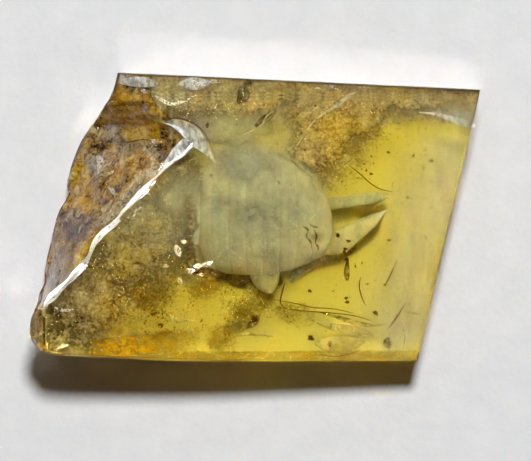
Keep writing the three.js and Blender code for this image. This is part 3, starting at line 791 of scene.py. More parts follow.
# Smears are flat, and their material has gaps.
BROWN_SMEARS = [
    flat(3, 0.02, 0.03,
         (3.4, -5.05, 0.03), (4.3, -5.3, 0.1), (5.2, -5.6, 0.15), (6.1, -5.75, 0.11),
         (6.97, -5.7, 0.03)),
    flat(2.6, 0.02, 0.03, (4.85, -2.25, 0.06), (4.8, -2.9, 0.16), (4.85, -3.35, 0.08)),
    flat(4.9, 0.02, 0.03,
         (-0.05, 4.85, 0.1), (0.3, 5.15, 0.19), (0.75, 5.5, 0.19), (1.05, 5.75, 0.1)),
    flat(2.6, 0.02, 0.03, (7.1, -6.4, 0.05), (6.95, -6.7, 0.2), (7.15, -7, 0.05)),
    flat(3.6, 0.02, 0.03, (10.9, 6.5, 0.05), (11.1, 6.2, 0.2), (11.3, 5.7, 0.05)),
    flat(3.4, 0.02, 0.04, (0.15, -5.2, 0.04), (-0.15, -5.55, 0.22), (-0.6, -5.9, 0.05)),
]

GREY_SMEARS = [
    flat(5, 0.02, 0.03, (-0.35, 7.3, 0.1), (-0.5, 6.95, 0.3), (-0.7, 6.5, 0.34), (-1, 6.1, 0.1)),
]

# Pale films that paint the reflection of crack faces.
PALE_CRACKS = [
    [(2.06, 3.65, 4.7, 0.015, 0.01), (2.5, 4.35, 4.7, 0.03, 0.012),
     (3.01, 5.07, 4.7, 0.04, 0.012), (3.73, 5.67, 4.65, 0.07, 0.012),
     (4.32, 6.03, 4.6, 0.19, 0.014), (4.92, 6.44, 4.6, 0.08, 0.012), (6.1, 6.98, 4.5, 0.015, 0.01)],
    [(8, -6.1, 3.2, 0.02, 0.01), (7.97, -6.6, 3.15, 0.05, 0.012), (7.85, -7, 3.1, 0.04, 0.01),
     (7.6, -7.3, 3.1, 0.015, 0.01)],
    flat(3.1, 0.01, 0.01, (7.65, -5.3, 0.015), (7.85, -5.7, 0.035), (7.95, -6.3, 0.02)),
    flat(4.95, 0.01, 0.012, (0.35, 5.1, 0.02), (0.6, 5.45, 0.05), (0.95, 5.7, 0.02)),
    flat(3.6, 0.01, 0.012, (-5.2, -4.9, 0.04), (-4.3, -5.4, 0.1), (-3.4, -5.5, 0.03)),
    flat(3.2, 0.01, 0.012, (-1.6, -6.4, 0.02), (-0.4, -6.2, 0.08), (1, -6.35, 0.03)),
    flat(4.95, 0.01, 0.012, (-0.7, 4.4, 0.012), (0.2, 4.9, 0.03), (0.95, 5.55, 0.015)),
]

# Cracks seen flat on: pale lenses that paint their reflection.
LENS_CRACKS = [
    [(3.1, -6.75, 2.4, 0.08, 0.02), (3.7, -6.75, 2.4, 0.4, 0.05), (4.4, -6.8, 2.4, 0.5, 0.06),
     (5.1, -6.75, 2.4, 0.38, 0.05), (5.8, -6.6, 2.4, 0.06, 0.02)],
    flat(2.6, 0.02, 0.03,
         (3.2, -5.6, 0.05), (4.2, -5.85, 0.22), (5.4, -6.05, 0.25), (6.3, -6.3, 0.05)),
]

# Painted sheen and glow on chip faces: grey-white films right under the surface. The third value is
# the depth.
CHIP_FACES = [
    [(-4.95, 5.12, 0.08, 0.1, 0.012), (-4.4, 5.05, 0.09, 0.24, 0.015),
     (-3.8, 4.78, 0.1, 0.38, 0.018), (-3.35, 4.36, 0.1, 0.46, 0.018),
     (-3, 3.96, 0.09, 0.36, 0.018), (-2.65, 3.55, 0.08, 0.2, 0.015),
     (-2.38, 3.2, 0.08, 0.1, 0.012), (-2.15, 2.9, 0.08, 0.03, 0.012)],
    flat(0.08, 0.012, 0.015,
         (-3.2, 4.3, 0.1), (-3.65, 3.9, 0.36), (-4.2, 3.38, 0.34), (-4.7, 2.9, 0.18),
         (-5.3, 2.3, 0.06)),
    flat(0.08, 0.012, 0.015,
         (-7.3, 7.2, 0.1), (-6.5, 7.2, 0.26), (-5.7, 7.15, 0.24), (-5.2, 7.1, 0.05)),
    [(8.7, 5.62, 0.1, 0.02, 0.01), (9.6, 5.5, 0.1, 0.08, 0.012), (10.6, 5.22, 0.1, 0.16, 0.014),
     (11.35, 4.98, 0.1, 0.17, 0.014), (11.75, 4.85, 0.1, 0.08, 0.012)],
    flat(0.08, 0.012, 0.015,
         (-4.1, 7.1, 0.06), (-3.5, 7.1, 0.32), (-2.9, 7.1, 0.28), (-2.4, 7.1, 0.05)),
]

# The ridge's painted highlight: a silvery white line of uneven width, right under the surface.
RIDGE_WEAR = flat(
    0.05, 0.012, 0.012,
    (-3.35, 3.8, 0.03), (-4.43, 2.95, 0.07), (-5.32, 2.14, 0.06), (-5.84, 1.66, 0.09),
    (-6.3, 1.2, 0.11), (-6.9, 0.5, 0.07), (-7.38, -0.1, 0.08), (-7.64, -0.4, 0.12),
    (-8.14, -0.85, 0.17), (-8.6, -1.4, 0.14), (-8.85, -2, 0.1), (-9.12, -2.48, 0.17),
    (-9.6, -2.98, 0.19), (-9.98, -3.36, 0.1), (-10.4, -3.8, 0.16), (-10.85, -4.25, 0.22),
    (-11.15, -4.6, 0.1), (-11.3, -4.85, 0.02))

# Painted highlights: silvery white films right under the surface, where small chips glint. The
# third value is the depth.
GLINT_FLAKES = [
    flat(0.06, 0.01, 0.012, (-10.8, -4.75, 0.03), (-10.2, -4.95, 0.09), (-9.7, -4.9, 0.03)),
    flat(0.06, 0.01, 0.012, (-11.75, -6.35, 0.03), (-11.5, -6.2, 0.07), (-11.3, -6.1, 0.02)),
    flat(0.08, 0.01, 0.012, (3.9, 7.05, 0.03), (4.15, 6.95, 0.1), (4.4, 6.8, 0.03)),
    flat(0.08, 0.01, 0.012, (3.1, 6.85, 0.02), (3.3, 6.9, 0.05), (3.5, 6.8, 0.02)),
    flat(0.05, 0.01, 0.012,
         (-5.35, 6.45, 0.03), (-4.95, 6.2, 0.1), (-4.5, 6.02, 0.09), (-3.9, 6.15, 0.07),
         (-3.2, 6.5, 0.02)),
    flat(0.06, 0.012, 0.015, (-8.5, 3.3, 0.1), (-8.3, 2.9, 0.24), (-8.45, 2.3, 0.1)),
    [(-7.85, 1.6, 0.06, 0.04, 0.012), (-7.65, 1.4, 0.06, 0.13, 0.012),
     (-7.5, 1.15, 0.06, 0.04, 0.01)],
    flat(0.06, 0.01, 0.012, (-3.75, 7.35, 0.05), (-3.3, 7.1, 0.2), (-2.7, 7.1, 0.05)),
    flat(0.06, 0.01, 0.012, (-2.9, 6.95, 0.04), (-2.4, 7.2, 0.12), (-1.9, 7.2, 0.04)),
    flat(0.06, 0.01, 0.012, (-6.1, 6.75, 0.06), (-5.95, 6.7, 0.12), (-5.8, 6.65, 0.06)),
    flat(0.03, 0.01, 0.012, (-4.3, -1.45, 0.05), (-4.15, -1.8, 0.19), (-4.05, -2.1, 0.05)),
    flat(0.03, 0.01, 0.01, (-4, -1.25, 0.04), (-3.85, -1.3, 0.11), (-3.7, -1.28, 0.04)),
    flat(0.03, 0.01, 0.012, (-3.75, -2.75, 0.04), (-3.5, -2.85, 0.15), (-3.25, -2.8, 0.05)),
    flat(0.03, 0.01, 0.012, (-3.35, -2.6, 0.04), (-3.1, -2.6, 0.15), (-2.9, -2.55, 0.05)),
    flat(0.05, 0.01, 0.012, (-2.85, -2.5, 0.04), (-2.6, -2.5, 0.14), (-2.3, -2.35, 0.03)),
    flat(0.03, 0.01, 0.01, (-4.15, -3.2, 0.04), (-4.05, -3.4, 0.13), (-4, -3.65, 0.04)),
    flat(0.03, 0.01, 0.01, (-4.95, -2.6, 0.03), (-4.8, -2.6, 0.1), (-4.65, -2.6, 0.03)),
    flat(0.03, 0.01, 0.01, (-3.05, -3.05, 0.03), (-2.9, -3.05, 0.09), (-2.75, -3.05, 0.03)),
    flat(0.06, 0.01, 0.012, (-11.3, -5.3, 0.04), (-11.2, -4.8, 0.12), (-11, -4.4, 0.04)),
    flat(0.1, 0.01, 0.012, (-10.6, -7, 0.03), (-10.3, -6.85, 0.1), (-9.95, -6.8, 0.03)),
    flat(0.06, 0.01, 0.012, (-6.3, 1.2, 0.02), (-5.9, 1.3, 0.07), (-5.6, 1.2, 0.02)),
    flat(0.06, 0.01, 0.012, (-6.6, -0.1, 0.02), (-6.35, 0.35, 0.08), (-6.1, 0.55, 0.02)),
]


# The insect

INSECT_HEIGHT = 2.45
HEAD_MIDDLE = 0.3
BODY_START = -3.42
BODY_END = 4.05
BACK_RISE = 1.25
BELLY_DROP = 0.8
PLATES = 8
PLATE_STEP = 0.07
PLATE_OVERLAP = 0.07
PLATE_BEND = 0.1
PLATE_RINGS = 16
BODY_SIDES = 120
HALF_WIDTH = profile([
    (-3.42, 1.1), (-3.16, 1.72), (-2.68, 2.5), (-1.4, 3.27), (0.1, 3.54), (1.34, 3.13), (2.1, 2.79),
    (3.37, 1.88), (4.05, 1.2)])
MIDDLE_LINE = profile([(-3.42, 0.42), (-2.68, 0.02), (-0.4, 0.46), (2.1, 0.1), (4.05, -0.4)])


def insect_body():
    """The plated body as rings along X. Each plate swells from its front edge to its rear edge,
    which stands over the next plate. Towards the sides the rings bend to the body's middle."""
    t = np.tile(np.linspace(0, 1, PLATE_RINGS), PLATES)
    plate = np.repeat(np.arange(PLATES), PLATE_RINGS)
    x = mix(BODY_START, BODY_END, (plate + t) / PLATES) - PLATE_OVERLAP * (1 - t) ** 8
    angle = np.linspace(0, 2 * np.pi, BODY_SIDES, endpoint=False)
    c, s = np.cos(angle), np.sin(angle)
    x = x[:, None] * (1 - PLATE_BEND * c ** 2)
    step = (PLATE_STEP * (1 - t) ** 0.8 + 0.03 * smoothstep(0.88, 1, t))[:, None]
    dome = np.sqrt(np.maximum(1 - ((x + 0.2) / 5.2) ** 2, 0))
    dome = dome * smoothstep(BODY_START - 1.1, BODY_START + 1.2, x)
    height = np.where(s > 0, BACK_RISE * dome - step, BELLY_DROP * dome - 0.5 * step)
    groove = 0.05 * np.exp(-(c / 0.07) ** 2) + 0.04 * np.exp(-((np.abs(c) - 0.72) / 0.06) ** 2)
    wrinkles = 0.02 * soft_noise((x, 3 * c + 0 * x, 3 * s + 0 * x), 0.5, 21)
    height = height - dome * (groove - wrinkles)
    y = MIDDLE_LINE(x) + (HALF_WIDTH(x) - step) * np.sign(c) * np.abs(c) ** 0.85
    z = INSECT_HEIGHT + height * np.sign(s) * np.abs(s) ** 1.1
    return skin(np.stack([x, y, z], -1))


def insect_head():
    """The rounded head, with a collar behind it."""
    t = np.linspace(0, 1, 48)[:, None]
    angle = np.linspace(0, 2 * np.pi, 64, endpoint=False)
    c, s = np.cos(angle), np.sin(angle)
    rounded = np.sqrt(np.maximum(1 - (1 - np.minimum(t * 1.5 + 0.02, 1)) ** 2, 0))
    collar = 1 + 0.16 * smoothstep(0.55, 0.62, t) - 0.05 * np.exp(-((t - 0.53) / 0.03) ** 2)
    x = mix(-4.95, -3.1, t) + 0 * c
    y = HEAD_MIDDLE + 1.4 * rounded * collar * np.sign(c) * np.abs(c) ** 0.85
    height = np.where(s > 0, 0.6, 0.5) * rounded * collar
    z = INSECT_HEIGHT + height * np.sign(s) * np.abs(s) ** 1.1
    return skin(np.stack([x, y, z], -1))


def on_insect(stops):
    """Stops whose heights are given from the insect's widest level."""
    return [(x, y, z + INSECT_HEIGHT, width, thickness) for x, y, z, width, thickness in stops]


PRONGS = [
    [(3.2, 0.72, 0.08, 0.45, 0.3), (4.3, 0.86, 0.1, 0.34, 0.26), (5.4, 0.99, 0.12, 0.34, 0.2),
     (6.35, 1.12, 0.14, 0.3, 0.14), (6.85, 1.19, 0.15, 0.16, 0.09), (7.18, 1.2, 0.15, 0.03, 0.03)],
    [(3.2, -1.1, 0, 0.84, 0.34), (4.29, -1.24, 0.02, 0.66, 0.3), (5.04, -0.82, 0.05, 0.56, 0.24),
     (5.68, -0.43, 0.08, 0.45, 0.18), (6.38, 0.03, 0.1, 0.29, 0.11),
     (6.95, 0.45, 0.12, 0.03, 0.03)],
]
BENT_LEG = [
    (0.3, -2.2, -0.5, 0.6, 0.28), (0.36, -2.9, -0.42, 0.78, 0.32), (0.5, -3.4, -0.4, 0.68, 0.28),
    (0.62, -3.8, -0.4, 0.4, 0.2), (0.68, -4, -0.42, 0.14, 0.12),
]
LEG_ROOTS = [-2.1, -0.6, 0.9]


def folded_leg(x, side):
    """One leg under the belly: a stout thigh out to the knee, a slim shin and a foot back in."""
    middle = float(MIDDLE_LINE(x))
    reach = middle + side * (float(HALF_WIDTH(x)) - 0.35)
    knee = x + 0.35
    return [
        (x, middle + side * 0.7, -0.6, 0.26, 0.22),
        (knee - 0.1, mix(middle, reach, 0.65), -0.72, 0.24, 0.2),
        (knee + 0.02, mix(middle, reach, 0.93), -0.68, 0.15, 0.14),
        (knee + 0.12, reach, -0.66, 0.1, 0.1),
        (knee + 0.3, mix(middle, reach, 0.93), -0.7, 0.14, 0.13),
        (knee + 0.9, mix(middle, reach, 0.62), -0.84, 0.1, 0.09),
        (knee + 1.0, mix(middle, reach, 0.58), -0.84, 0.06, 0.06),
        (knee + 1.25, mix(middle, reach, 0.48), -0.82, 0.07, 0.06),
        (knee + 1.5, mix(middle, reach, 0.4), -0.8, 0.03, 0.03),
    ]


def feeler(side):
    """One antenna, from the front of the head round and back beside the body."""
    y = HEAD_MIDDLE
    return [
        (-4.75, y + side * 0.45, 0.05, 0.07, 0.07), (-5.05, y + side * 0.9, 0.1, 0.055, 0.055),
        (-4.95, y + side * 1.6, 0.12, 0.05, 0.05), (-4.4, y + side * 2.2, 0.1, 0.045, 0.045),
        (-3.6, y + side * 2.75, 0.05, 0.035, 0.035), (-3, y + side * 3.1, 0, 0.015, 0.015),
    ]


def beaded(stops, beads):
    """A tube pinched between its beads."""
    places = np.linspace(0, 1, 8 * beads + 1)
    fine = smooth_path(stops, places)
    fine[:, 3:] *= (0.78 + 0.3 * np.abs(np.sin(np.pi * beads * places)))[:, None]
    return tube(fine, sides=10, steps=8 * beads)


def bristles(roots, ways, lengths, radius=0.012):
    """A thin three-sided closed spike at each root, along its way."""
    ways = ways / np.linalg.norm(ways, axis=1)[:, None]
    across = np.cross(ways, [0.3, 0.2, 1])
    across /= np.linalg.norm(across, axis=1)[:, None]
    over = np.cross(ways, across)
    turns = 2 * np.pi * np.arange(3) / 3
    feet = (roots[:, None] + radius * (across[:, None] * np.cos(turns)[:, None]
                                       + over[:, None] * np.sin(turns)[:, None]))
    tips = (roots + ways * lengths[:, None])[:, None]
    points = np.concatenate([feet, tips], 1).reshape(-1, 3)
    faces = np.array([(0, 1, 3), (1, 2, 3), (2, 0, 3), (2, 1, 0)])
    return points, (faces + 4 * np.arange(len(roots))[:, None, None]).reshape(-1, 3).tolist()


def rim_bristles():
    """Bristles along both sides of the body, pointing out and back."""
    random = np.random.default_rng(31)
    count = 260
    x = random.uniform(BODY_START + 0.5, BODY_END - 0.4, count)
    side = random.choice([-1.0, 1.0], count)
    roots = np.stack([x, MIDDLE_LINE(x) + side * (HALF_WIDTH(x) - 0.12),
                      INSECT_HEIGHT + random.uniform(-0.15, 0.2, count)], -1)
    ways = np.stack([0.8 + random.uniform(-0.3, 0.3, count), side * 0.9,
                     random.uniform(-0.2, 0.3, count)], -1)
    return bristles(roots, ways, random.uniform(0.18, 0.34, count))


def insect():
    shells = [insect_body(), insect_head()]
    shells += [tube(on_insect(stops), sides=32, steps=64) for stops in PRONGS]
    shells += [tube(on_insect(folded_leg(x, side)), sides=14, steps=48)
               for x in LEG_ROOTS for side in (1, -1)]
    shells.append(tube(on_insect(BENT_LEG), sides=24, steps=32))
    shells += [beaded(on_insect(feeler(side)), 17) for side in (1, -1)]
    shells += [ball((-4.25, HEAD_MIDDLE + side * 1.12, INSECT_HEIGHT + 0.18), (0.26, 0.2, 0.22))
               for side in (1, -1)]
    shells.append(rim_bristles())
    points, faces = joined(shells)
    plate = np.full(len(points), 0.5)
    along_plate = np.repeat(np.linspace(0, 1, PLATE_RINGS), BODY_SIDES)
    plate[:len(shells[0][0])] = np.tile(along_plate, PLATES)
    x, y, z = points.T
    inside = most(0.85 * blob(x, y, 0, 0.3, 0.9, 1.1), 0.5 * blob(x, y, -1.7, 0.8, 1.2, 0.7),
                  0.7 * blob(x, y, 3.15, -1, 0.7, 0.6), 0.5 * blob(x, y, -4.3, -0.2, 1.2, 1.3),
                  0.3 * blob(x, y, 0.6, -2, 1.6, 0.7))
    return new_piece("milky_insect", points, faces, sharp_above=50, masks={
        "plate": plate, "dark": inside * smoothstep(INSECT_HEIGHT - 0.1, INSECT_HEIGHT + 0.2, z)})


# Materials

class Value:
    """A shader socket. Arithmetic on it adds Math nodes to its material."""

    def __init__(self, paint, output):
        self.paint = paint
        self.output = output

    def math(self, operation, *inputs):
        return self.paint.node("ShaderNodeMath", {"operation": operation}, *inputs)

    def __add__(self, other):
        return self.math("ADD", self, other)

    def __radd__(self, other):
        return self.math("ADD", other, self)

    def __sub__(self, other):
        return self.math("SUBTRACT", self, other)

    def __rsub__(self, other):
        return self.math("SUBTRACT", other, self)

    def __mul__(self, other):
        return self.math("MULTIPLY", self, other)

    def __rmul__(self, other):
        return self.math("MULTIPLY", other, self)


class Paint:
    """A material under construction. node() adds a node of a type with its settings, then the
    values or links of its sockets, and returns one output as a Value."""

    def __init__(self, name):
        self.material = bpy.data.materials.new(name)
        self.material.use_nodes = True
        self.tree = self.material.node_tree
        self.surface = self.tree.nodes["Principled BSDF"]
        self.output = self.tree.nodes["Material Output"]
        self.place = self.node("ShaderNodeTexCoord", output="Object")

    def fill(self, socket, value):
        if isinstance(value, Value):
            self.tree.links.new(value.output, socket)
        elif isinstance(value, tuple) and len(value) == 3 and socket.type == "RGBA":
            socket.default_value = (*value, 1)
        else:
            socket.default_value = value

    def node(self, kind, settings=None, *inputs, output=0, **named):
        node = self.tree.nodes.new(kind)
        for key, value in (settings or {}).items():
            if key == "stops":
                self.set_stops(node.color_ramp, value)
            else:
                setattr(node, key, value)
        for socket, value in zip(node.inputs, inputs):
            self.fill(socket, value)
        for key, value in named.items():
            self.fill(node.inputs[key.replace("_", " ")], value)
        return Value(self, node.outputs[output])

    @staticmethod
    def set_stops(ramp, stops):
        while len(ramp.elements) < len(stops):
            ramp.elements.new(1)
        for element, (position, colour) in zip(ramp.elements, stops):
            element.position = position
            element.color = (*colour, 1) if isinstance(colour, tuple) else (colour,) * 3 + (1,)

    def mask(self, name):
        """The value that the mesh carries under a name."""
        return self.node("ShaderNodeAttribute", {"attribute_name": name}, output="Fac")

    def stretched(self, x, y, z):
        """The object's coordinates with each axis scaled."""
        return self.node("ShaderNodeVectorMath", {"operation": "MULTIPLY"}, self.place, (x, y, z))

    def noise(self, size, detail=3, roughness=0.5, distortion=0, place=None, output=0):
        return self.node("ShaderNodeTexNoise", None, Vector=place or self.place,
                         Scale=1 / (size * MM), Detail=detail, Roughness=roughness,
                         Distortion=distortion, output=output)

    def ramp(self, value, *stops):
        return self.node("ShaderNodeValToRGB", {"stops": stops}, value)

    def blend(self, factor, a, b):
        node = self.tree.nodes.new("ShaderNodeMix")
        node.data_type = "RGBA"
        for name, value in (("Factor_Float", factor), ("A_Color", a), ("B_Color", b)):
            socket = next(i for i in node.inputs if i.identifier == name)
            self.fill(socket, value)
        return Value(self, next(o for o in node.outputs if o.identifier == "Result_Color"))

    def bump(self, height, depth):
        return self.node("ShaderNodeBump", None, Strength=1.0, Distance=depth * MM, Height=height)

    def set(self, **sockets):
        for key, value in sockets.items():
            self.fill(self.surface.inputs[key.replace("_", " ")], value)

    def absorb(self, colour, density):
        node = self.tree.nodes.new("ShaderNodeVolumeAbsorption")
        self.fill(node.inputs["Color"], colour)
        self.fill(node.inputs["Density"], density)
        self.tree.links.new(node.outputs[0], self.output.inputs["Volume"])


def amber_material():
    paint = Paint("clear_amber")
    paint.set(Base_Color=(1, 1, 1), Roughness=0.02, IOR=1.54, Transmission_Weight=1.0)
    paint.absorb((0.993, 0.915, 0.17), 345)
    return paint.material


# Four colours each, for the darkest to the lightest speckles. The lightest, near white, are painted
# glints.
CRUST_COLOURS = {
    "grey": [(0.24, 0.17, 0.09), (0.46, 0.38, 0.23), (0.7, 0.62, 0.42), (1, 0.98, 0.9)],
    "tan": [(0.25, 0.13, 0.04), (0.52, 0.31, 0.1), (0.74, 0.5, 0.2), (1, 0.93, 0.7)],
    "gold": [(0.42, 0.22, 0.01), (0.8, 0.5, 0.02), (0.92, 0.66, 0.05), (1, 0.92, 0.4)],
    "dark": [(0.1, 0.045, 0.02), (0.24, 0.12, 0.05), (0.42, 0.24, 0.11), (0.9, 0.8, 0.6)],
    "pale": [(0.42, 0.4, 0.34), (0.62, 0.62, 0.58), (0.82, 0.84, 0.84), (1, 1, 1)],
}
CLOUD_COLOURS = {
    "grey": [(0.33, 0.27, 0.19), (0.5, 0.44, 0.33), (0.66, 0.6, 0.47), (0.92, 0.88, 0.78)],
    "tan": [(0.44, 0.31, 0.15), (0.62, 0.47, 0.25), (0.76, 0.61, 0.36), (1, 0.92, 0.7)],
    "gold": [(0.56, 0.38, 0.08), (0.86, 0.64, 0.16), (0.98, 0.8, 0.28), (1, 0.95, 0.6)],
    "dark": [(0.16, 0.1, 0.08), (0.3, 0.21, 0.17), (0.46, 0.36, 0.3), (0.8, 0.7, 0.6)],
    "pale": [(0.66, 0.71, 0.76), (0.75, 0.8, 0.87), (0.82, 0.87, 0.95), (0.9, 0.94, 1)],
}


def cloud_material(name, colours, facets):
    """Brown flow layer and pale milk in one sheet, speckled, with crumbling edges and painted
    light: the milk mask also carries painted sheen, and the orange mask painted glow. Masks say how
    dense each is, and how far the brown turns from grey to tan, to gold, to the orange of painted
    glow and to dark. facets is how far it's broken into flat patches, each of one brightness, which
    paint how facets catch the light. Light passes both faces of a sheet, so each covers less than
    the sheet does."""
    paint = Paint(name)
    bends = paint.noise(0.5, detail=2, output="Color")
    bent = paint.node("ShaderNodeVectorMath", {"operation": "MULTIPLY_ADD"}, bends,
                      (0.3 * MM, 0.3 * MM, 0), paint.place)
    cells = paint.node("ShaderNodeTexVoronoi", None, Vector=bent, Scale=1 / (0.42 * MM),
                       output="Color")
    chunks = paint.noise(0.6, detail=7, roughness=0.68, distortion=0.3)
    speckle = paint.noise(0.15, detail=3, roughness=0.6)
    patches = paint.noise(1.2, detail=5, roughness=0.6, distortion=0.4)
    bright = chunks * 0.55 + speckle * 0.45
    # Patches of one brightness each paint how the break's facets catch the light.
    patch = paint.ramp(cells, (0.15, 0.34), (0.5, 0.5), (0.72, 0.58), (0.8, 0.75))
    bright = bright + (patch - 0.5) * facets
    stops = (0.37, 0.48, 0.57, 0.68)
    shades = {key: paint.ramp(bright, *zip(stops, shade)) for key, shade in colours.items()}
    golden = paint.mask("gold") + paint.ramp(patches, (0.5, 0.0), (0.66, 0.45))
    dark = paint.mask("dark") + paint.ramp(patches, (0.34, 0.35), (0.44, 0.0))
    colour = paint.blend(paint.mask("warm"), shades["grey"], shades["tan"])
    colour = paint.blend(golden, colour, shades["gold"])
    # Painted light: bright orange where the front wall gathers light.
    colour = paint.blend(paint.mask("orange"), colour, (1, 0.76, 0.1))
    colour = paint.blend(dark, colour, shades["dark"])
    crumble = chunks * 0.7 + speckle * 0.5 - 0.6
    brown = paint.ramp(paint.mask("brown") + crumble, (0.08, 0.0), (0.5, 0.38), (0.95, 0.8))
    milk = paint.mask("milk") * paint.ramp(patches, (0.4, 0.75), (0.64, 0.5))
    share = brown.math("DIVIDE", brown, brown + milk + 0.001)
    paint.set(Base_Color=paint.blend(share, shades["pale"], colour), Roughness=0.9,
              Specular_IOR_Level=0.1, Alpha=brown.math("MAXIMUM", brown, milk))
    return paint.material


def haze_material():
    """Pale haze that paints a glow of light, finely uneven."""
    paint = Paint("polish_haze")
    scratches = paint.noise(0.5, detail=6, roughness=0.6, place=paint.stretched(1, 0.2, 1))
    paint.set(Base_Color=(1, 0.97, 0.84), Roughness=0.5,
              Alpha=paint.mask("haze") * paint.ramp(scratches, (0.35, 0.4), (0.65, 0.6)))
    return paint.material


def spotted_material(name, grain, detail, colours, cover=None, rough=0.6, stretch=None, **finish):
    """A material of one noise. colours are a ramp's stops over it or one colour, cover the stops
    of how dense it is, and finish the values of other sockets."""
    paint = Paint(name)
    place = paint.stretched(*stretch) if stretch else None
    spots = paint.noise(grain, detail, rough, place=place)
    finish["Base_Color"] = paint.ramp(spots, *colours) if isinstance(colours, list) else colours
    if cover:
        finish["Alpha"] = paint.ramp(spots, *cover)
    paint.set(**finish)
    return paint.material


def grain_material():
    """Grains from dark brown to tan, each about one colour."""
    colours = [(0.36, (0.05, 0.02, 0.008)), (0.5, (0.2, 0.1, 0.03)), (0.62, (0.42, 0.26, 0.1)),
               (0.72, (0.8, 0.7, 0.5))]
    return spotted_material("brown_grains", 0.3, 2, colours, rough=0.5, Roughness=0.9,
                            Specular_IOR_Level=0.1)


def flake_material():
    """Flakes from pale gold to white."""
    return spotted_material("golden_flakes", 0.3, 2,
                            [(0.4, (1, 0.75, 0.25)), (0.6, (1, 0.96, 0.8))], rough=0.5,
                            Metallic=0.6, Roughness=0.4)


def speck_material():
    colours = [(0.35, (0.03, 0.014, 0.006)), (0.65, (0.16, 0.08, 0.025))]
    return spotted_material("dark_specks", 0.12, 4, colours, rough=0.5, Roughness=0.5)


def stain_material():
    """Orange-brown film behind the front wall, uneven in strength: it paints the glow that the
    front wall gathers.
    """
    return spotted_material("front_stain", 0.9, 6,
                            [(0.4, (0.62, 0.3, 0.03)), (0.62, (0.3, 0.13, 0.015))],
                            cover=[(0.36, 0.12), (0.64, 0.45)], stretch=(0.6, 1, 1.6),
                            Roughness=0.7)


def smear_material(name, light, dark):
    """Film with holes, lighter where it's thin."""
    return spotted_material(name, 0.28, 6, [(0.4, light), (0.62, dark)],
                            cover=[(0.38, 0.1), (0.62, 0.5)], rough=0.65, Roughness=0.8,
                            Specular_IOR_Level=0.1)


def crack_material():
    """Silvery crack faces, uneven in how much they reflect: their reflection is painted in a pale
    colour.
    """
    return spotted_material("pale_cracks", 0.3, 6,
                            [(0.35, (0.8, 0.78, 0.68)), (0.6, (0.97, 0.95, 0.88))],
                            cover=[(0.35, 0.35), (0.6, 0.8)], Roughness=0.35)


def glint_material(name, grain, gaps):
    """Silvery film with gaps, that mirrors the lamps broadly: it paints highlights. gaps is the
    noise value below which it's thin."""
    return spotted_material(name, grain, 4, (1, 1, 1), cover=[(gaps, 0.15), (gaps + 0.08, 1.0)],
                            Metallic=1.0, Roughness=0.48)


def lens_material():
    """A wide crack seen flat on: a pale film, thicker at some places, that paints the crack's
    reflection.
    """
    return spotted_material("crack_film", 1.2, 4, (1, 0.98, 0.82),
                            cover=[(0.35, 0.12), (0.65, 0.4)], rough=0.5, Roughness=0.5)


def chip_material():
    """A painted reflection on a chip's face: grey-white with fine streaks."""
    return spotted_material("frosted_chips", 0.25, 7,
                            [(0.38, (0.55, 0.55, 0.54)), (0.6, (0.88, 0.9, 0.93))],
                            cover=[(0.3, 0.45), (0.55, 0.95)], rough=0.65, stretch=(1, 0.5, 1),
                            Roughness=0.5)


def insect_material():
    """Milky grey-green, in soft bands across the body, with a bluish middle and dark marks. Each
    plate is palest at its rear edge, with a dark line behind it."""
    paint = Paint("milky_insect")
    plate = paint.mask("plate")
    bands = paint.noise(0.55, detail=5, roughness=0.55, distortion=0.3,
                        place=paint.stretched(1, 0.16, 0.6))
    broad = paint.noise(2.6, detail=3, roughness=0.5)
    marks = paint.noise(0.5, detail=7, roughness=0.65)
    mottle = paint.noise(0.2, detail=5, roughness=0.65)
    pale = paint.ramp(bands * 0.7 + mottle * 0.3, (0.4, (0.62, 0.68, 0.72)),
                      (0.5, (0.82, 0.87, 0.9)), (0.6, (0.96, 0.98, 0.97)))
    tinted = paint.blend(paint.ramp(broad, (0.3, 0.0), (0.7, 0.4)), pale, (0.64, 0.7, 0.82))
    marked = paint.blend(paint.ramp(marks, (0.6, 0.0), (0.74, 0.4)), tinted, (0.25, 0.22, 0.16))
    soiled = paint.blend(paint.mask("dark") * paint.ramp(marks, (0.38, 0.2), (0.56, 1.0)), marked,
                         (0.17, 0.17, 0.18))
    edge = paint.ramp(plate, (0.0, 0.3), (0.16, 0.08), (0.7, 0.0))
    colour = paint.blend(edge, soiled, (0.2, 0.2, 0.16))
    paint.set(Base_Color=colour, Roughness=0.6, Normal=paint.bump(bands, 0.03))
    return paint.material


def paper_material():
    """White paper with a soft mottle and fibres."""
    paint = Paint("white_paper")
    mottle = paint.noise(1.6, detail=6, roughness=0.6)
    white = paint.ramp(mottle, (0.3, (0.69, 0.705, 0.725)), (0.7, (0.745, 0.755, 0.77)))
    paint.set(Base_Color=white, Roughness=0.9, Normal=paint.bump(mottle, 0.06))
    return paint.material


# The stage

PAPER_REACH = 400
PAPER_LEVEL = -0.03
LAMP_DISTANCE = 0.6
CAMERA_LENS = 375
CAMERA_PLACE = (0.51 * MM, -0.7 * MM, 0.3)


def floor():
    """A square of paper just below the base."""
    r = PAPER_REACH
    corners = [(x, y, PAPER_LEVEL) for x, y in ((-r, -r), (r, -r), (r, r), (-r, r))]
    piece = new_piece("paper", corners, [[0, 1, 2, 3]])
    piece.data.materials.append(paper_material())


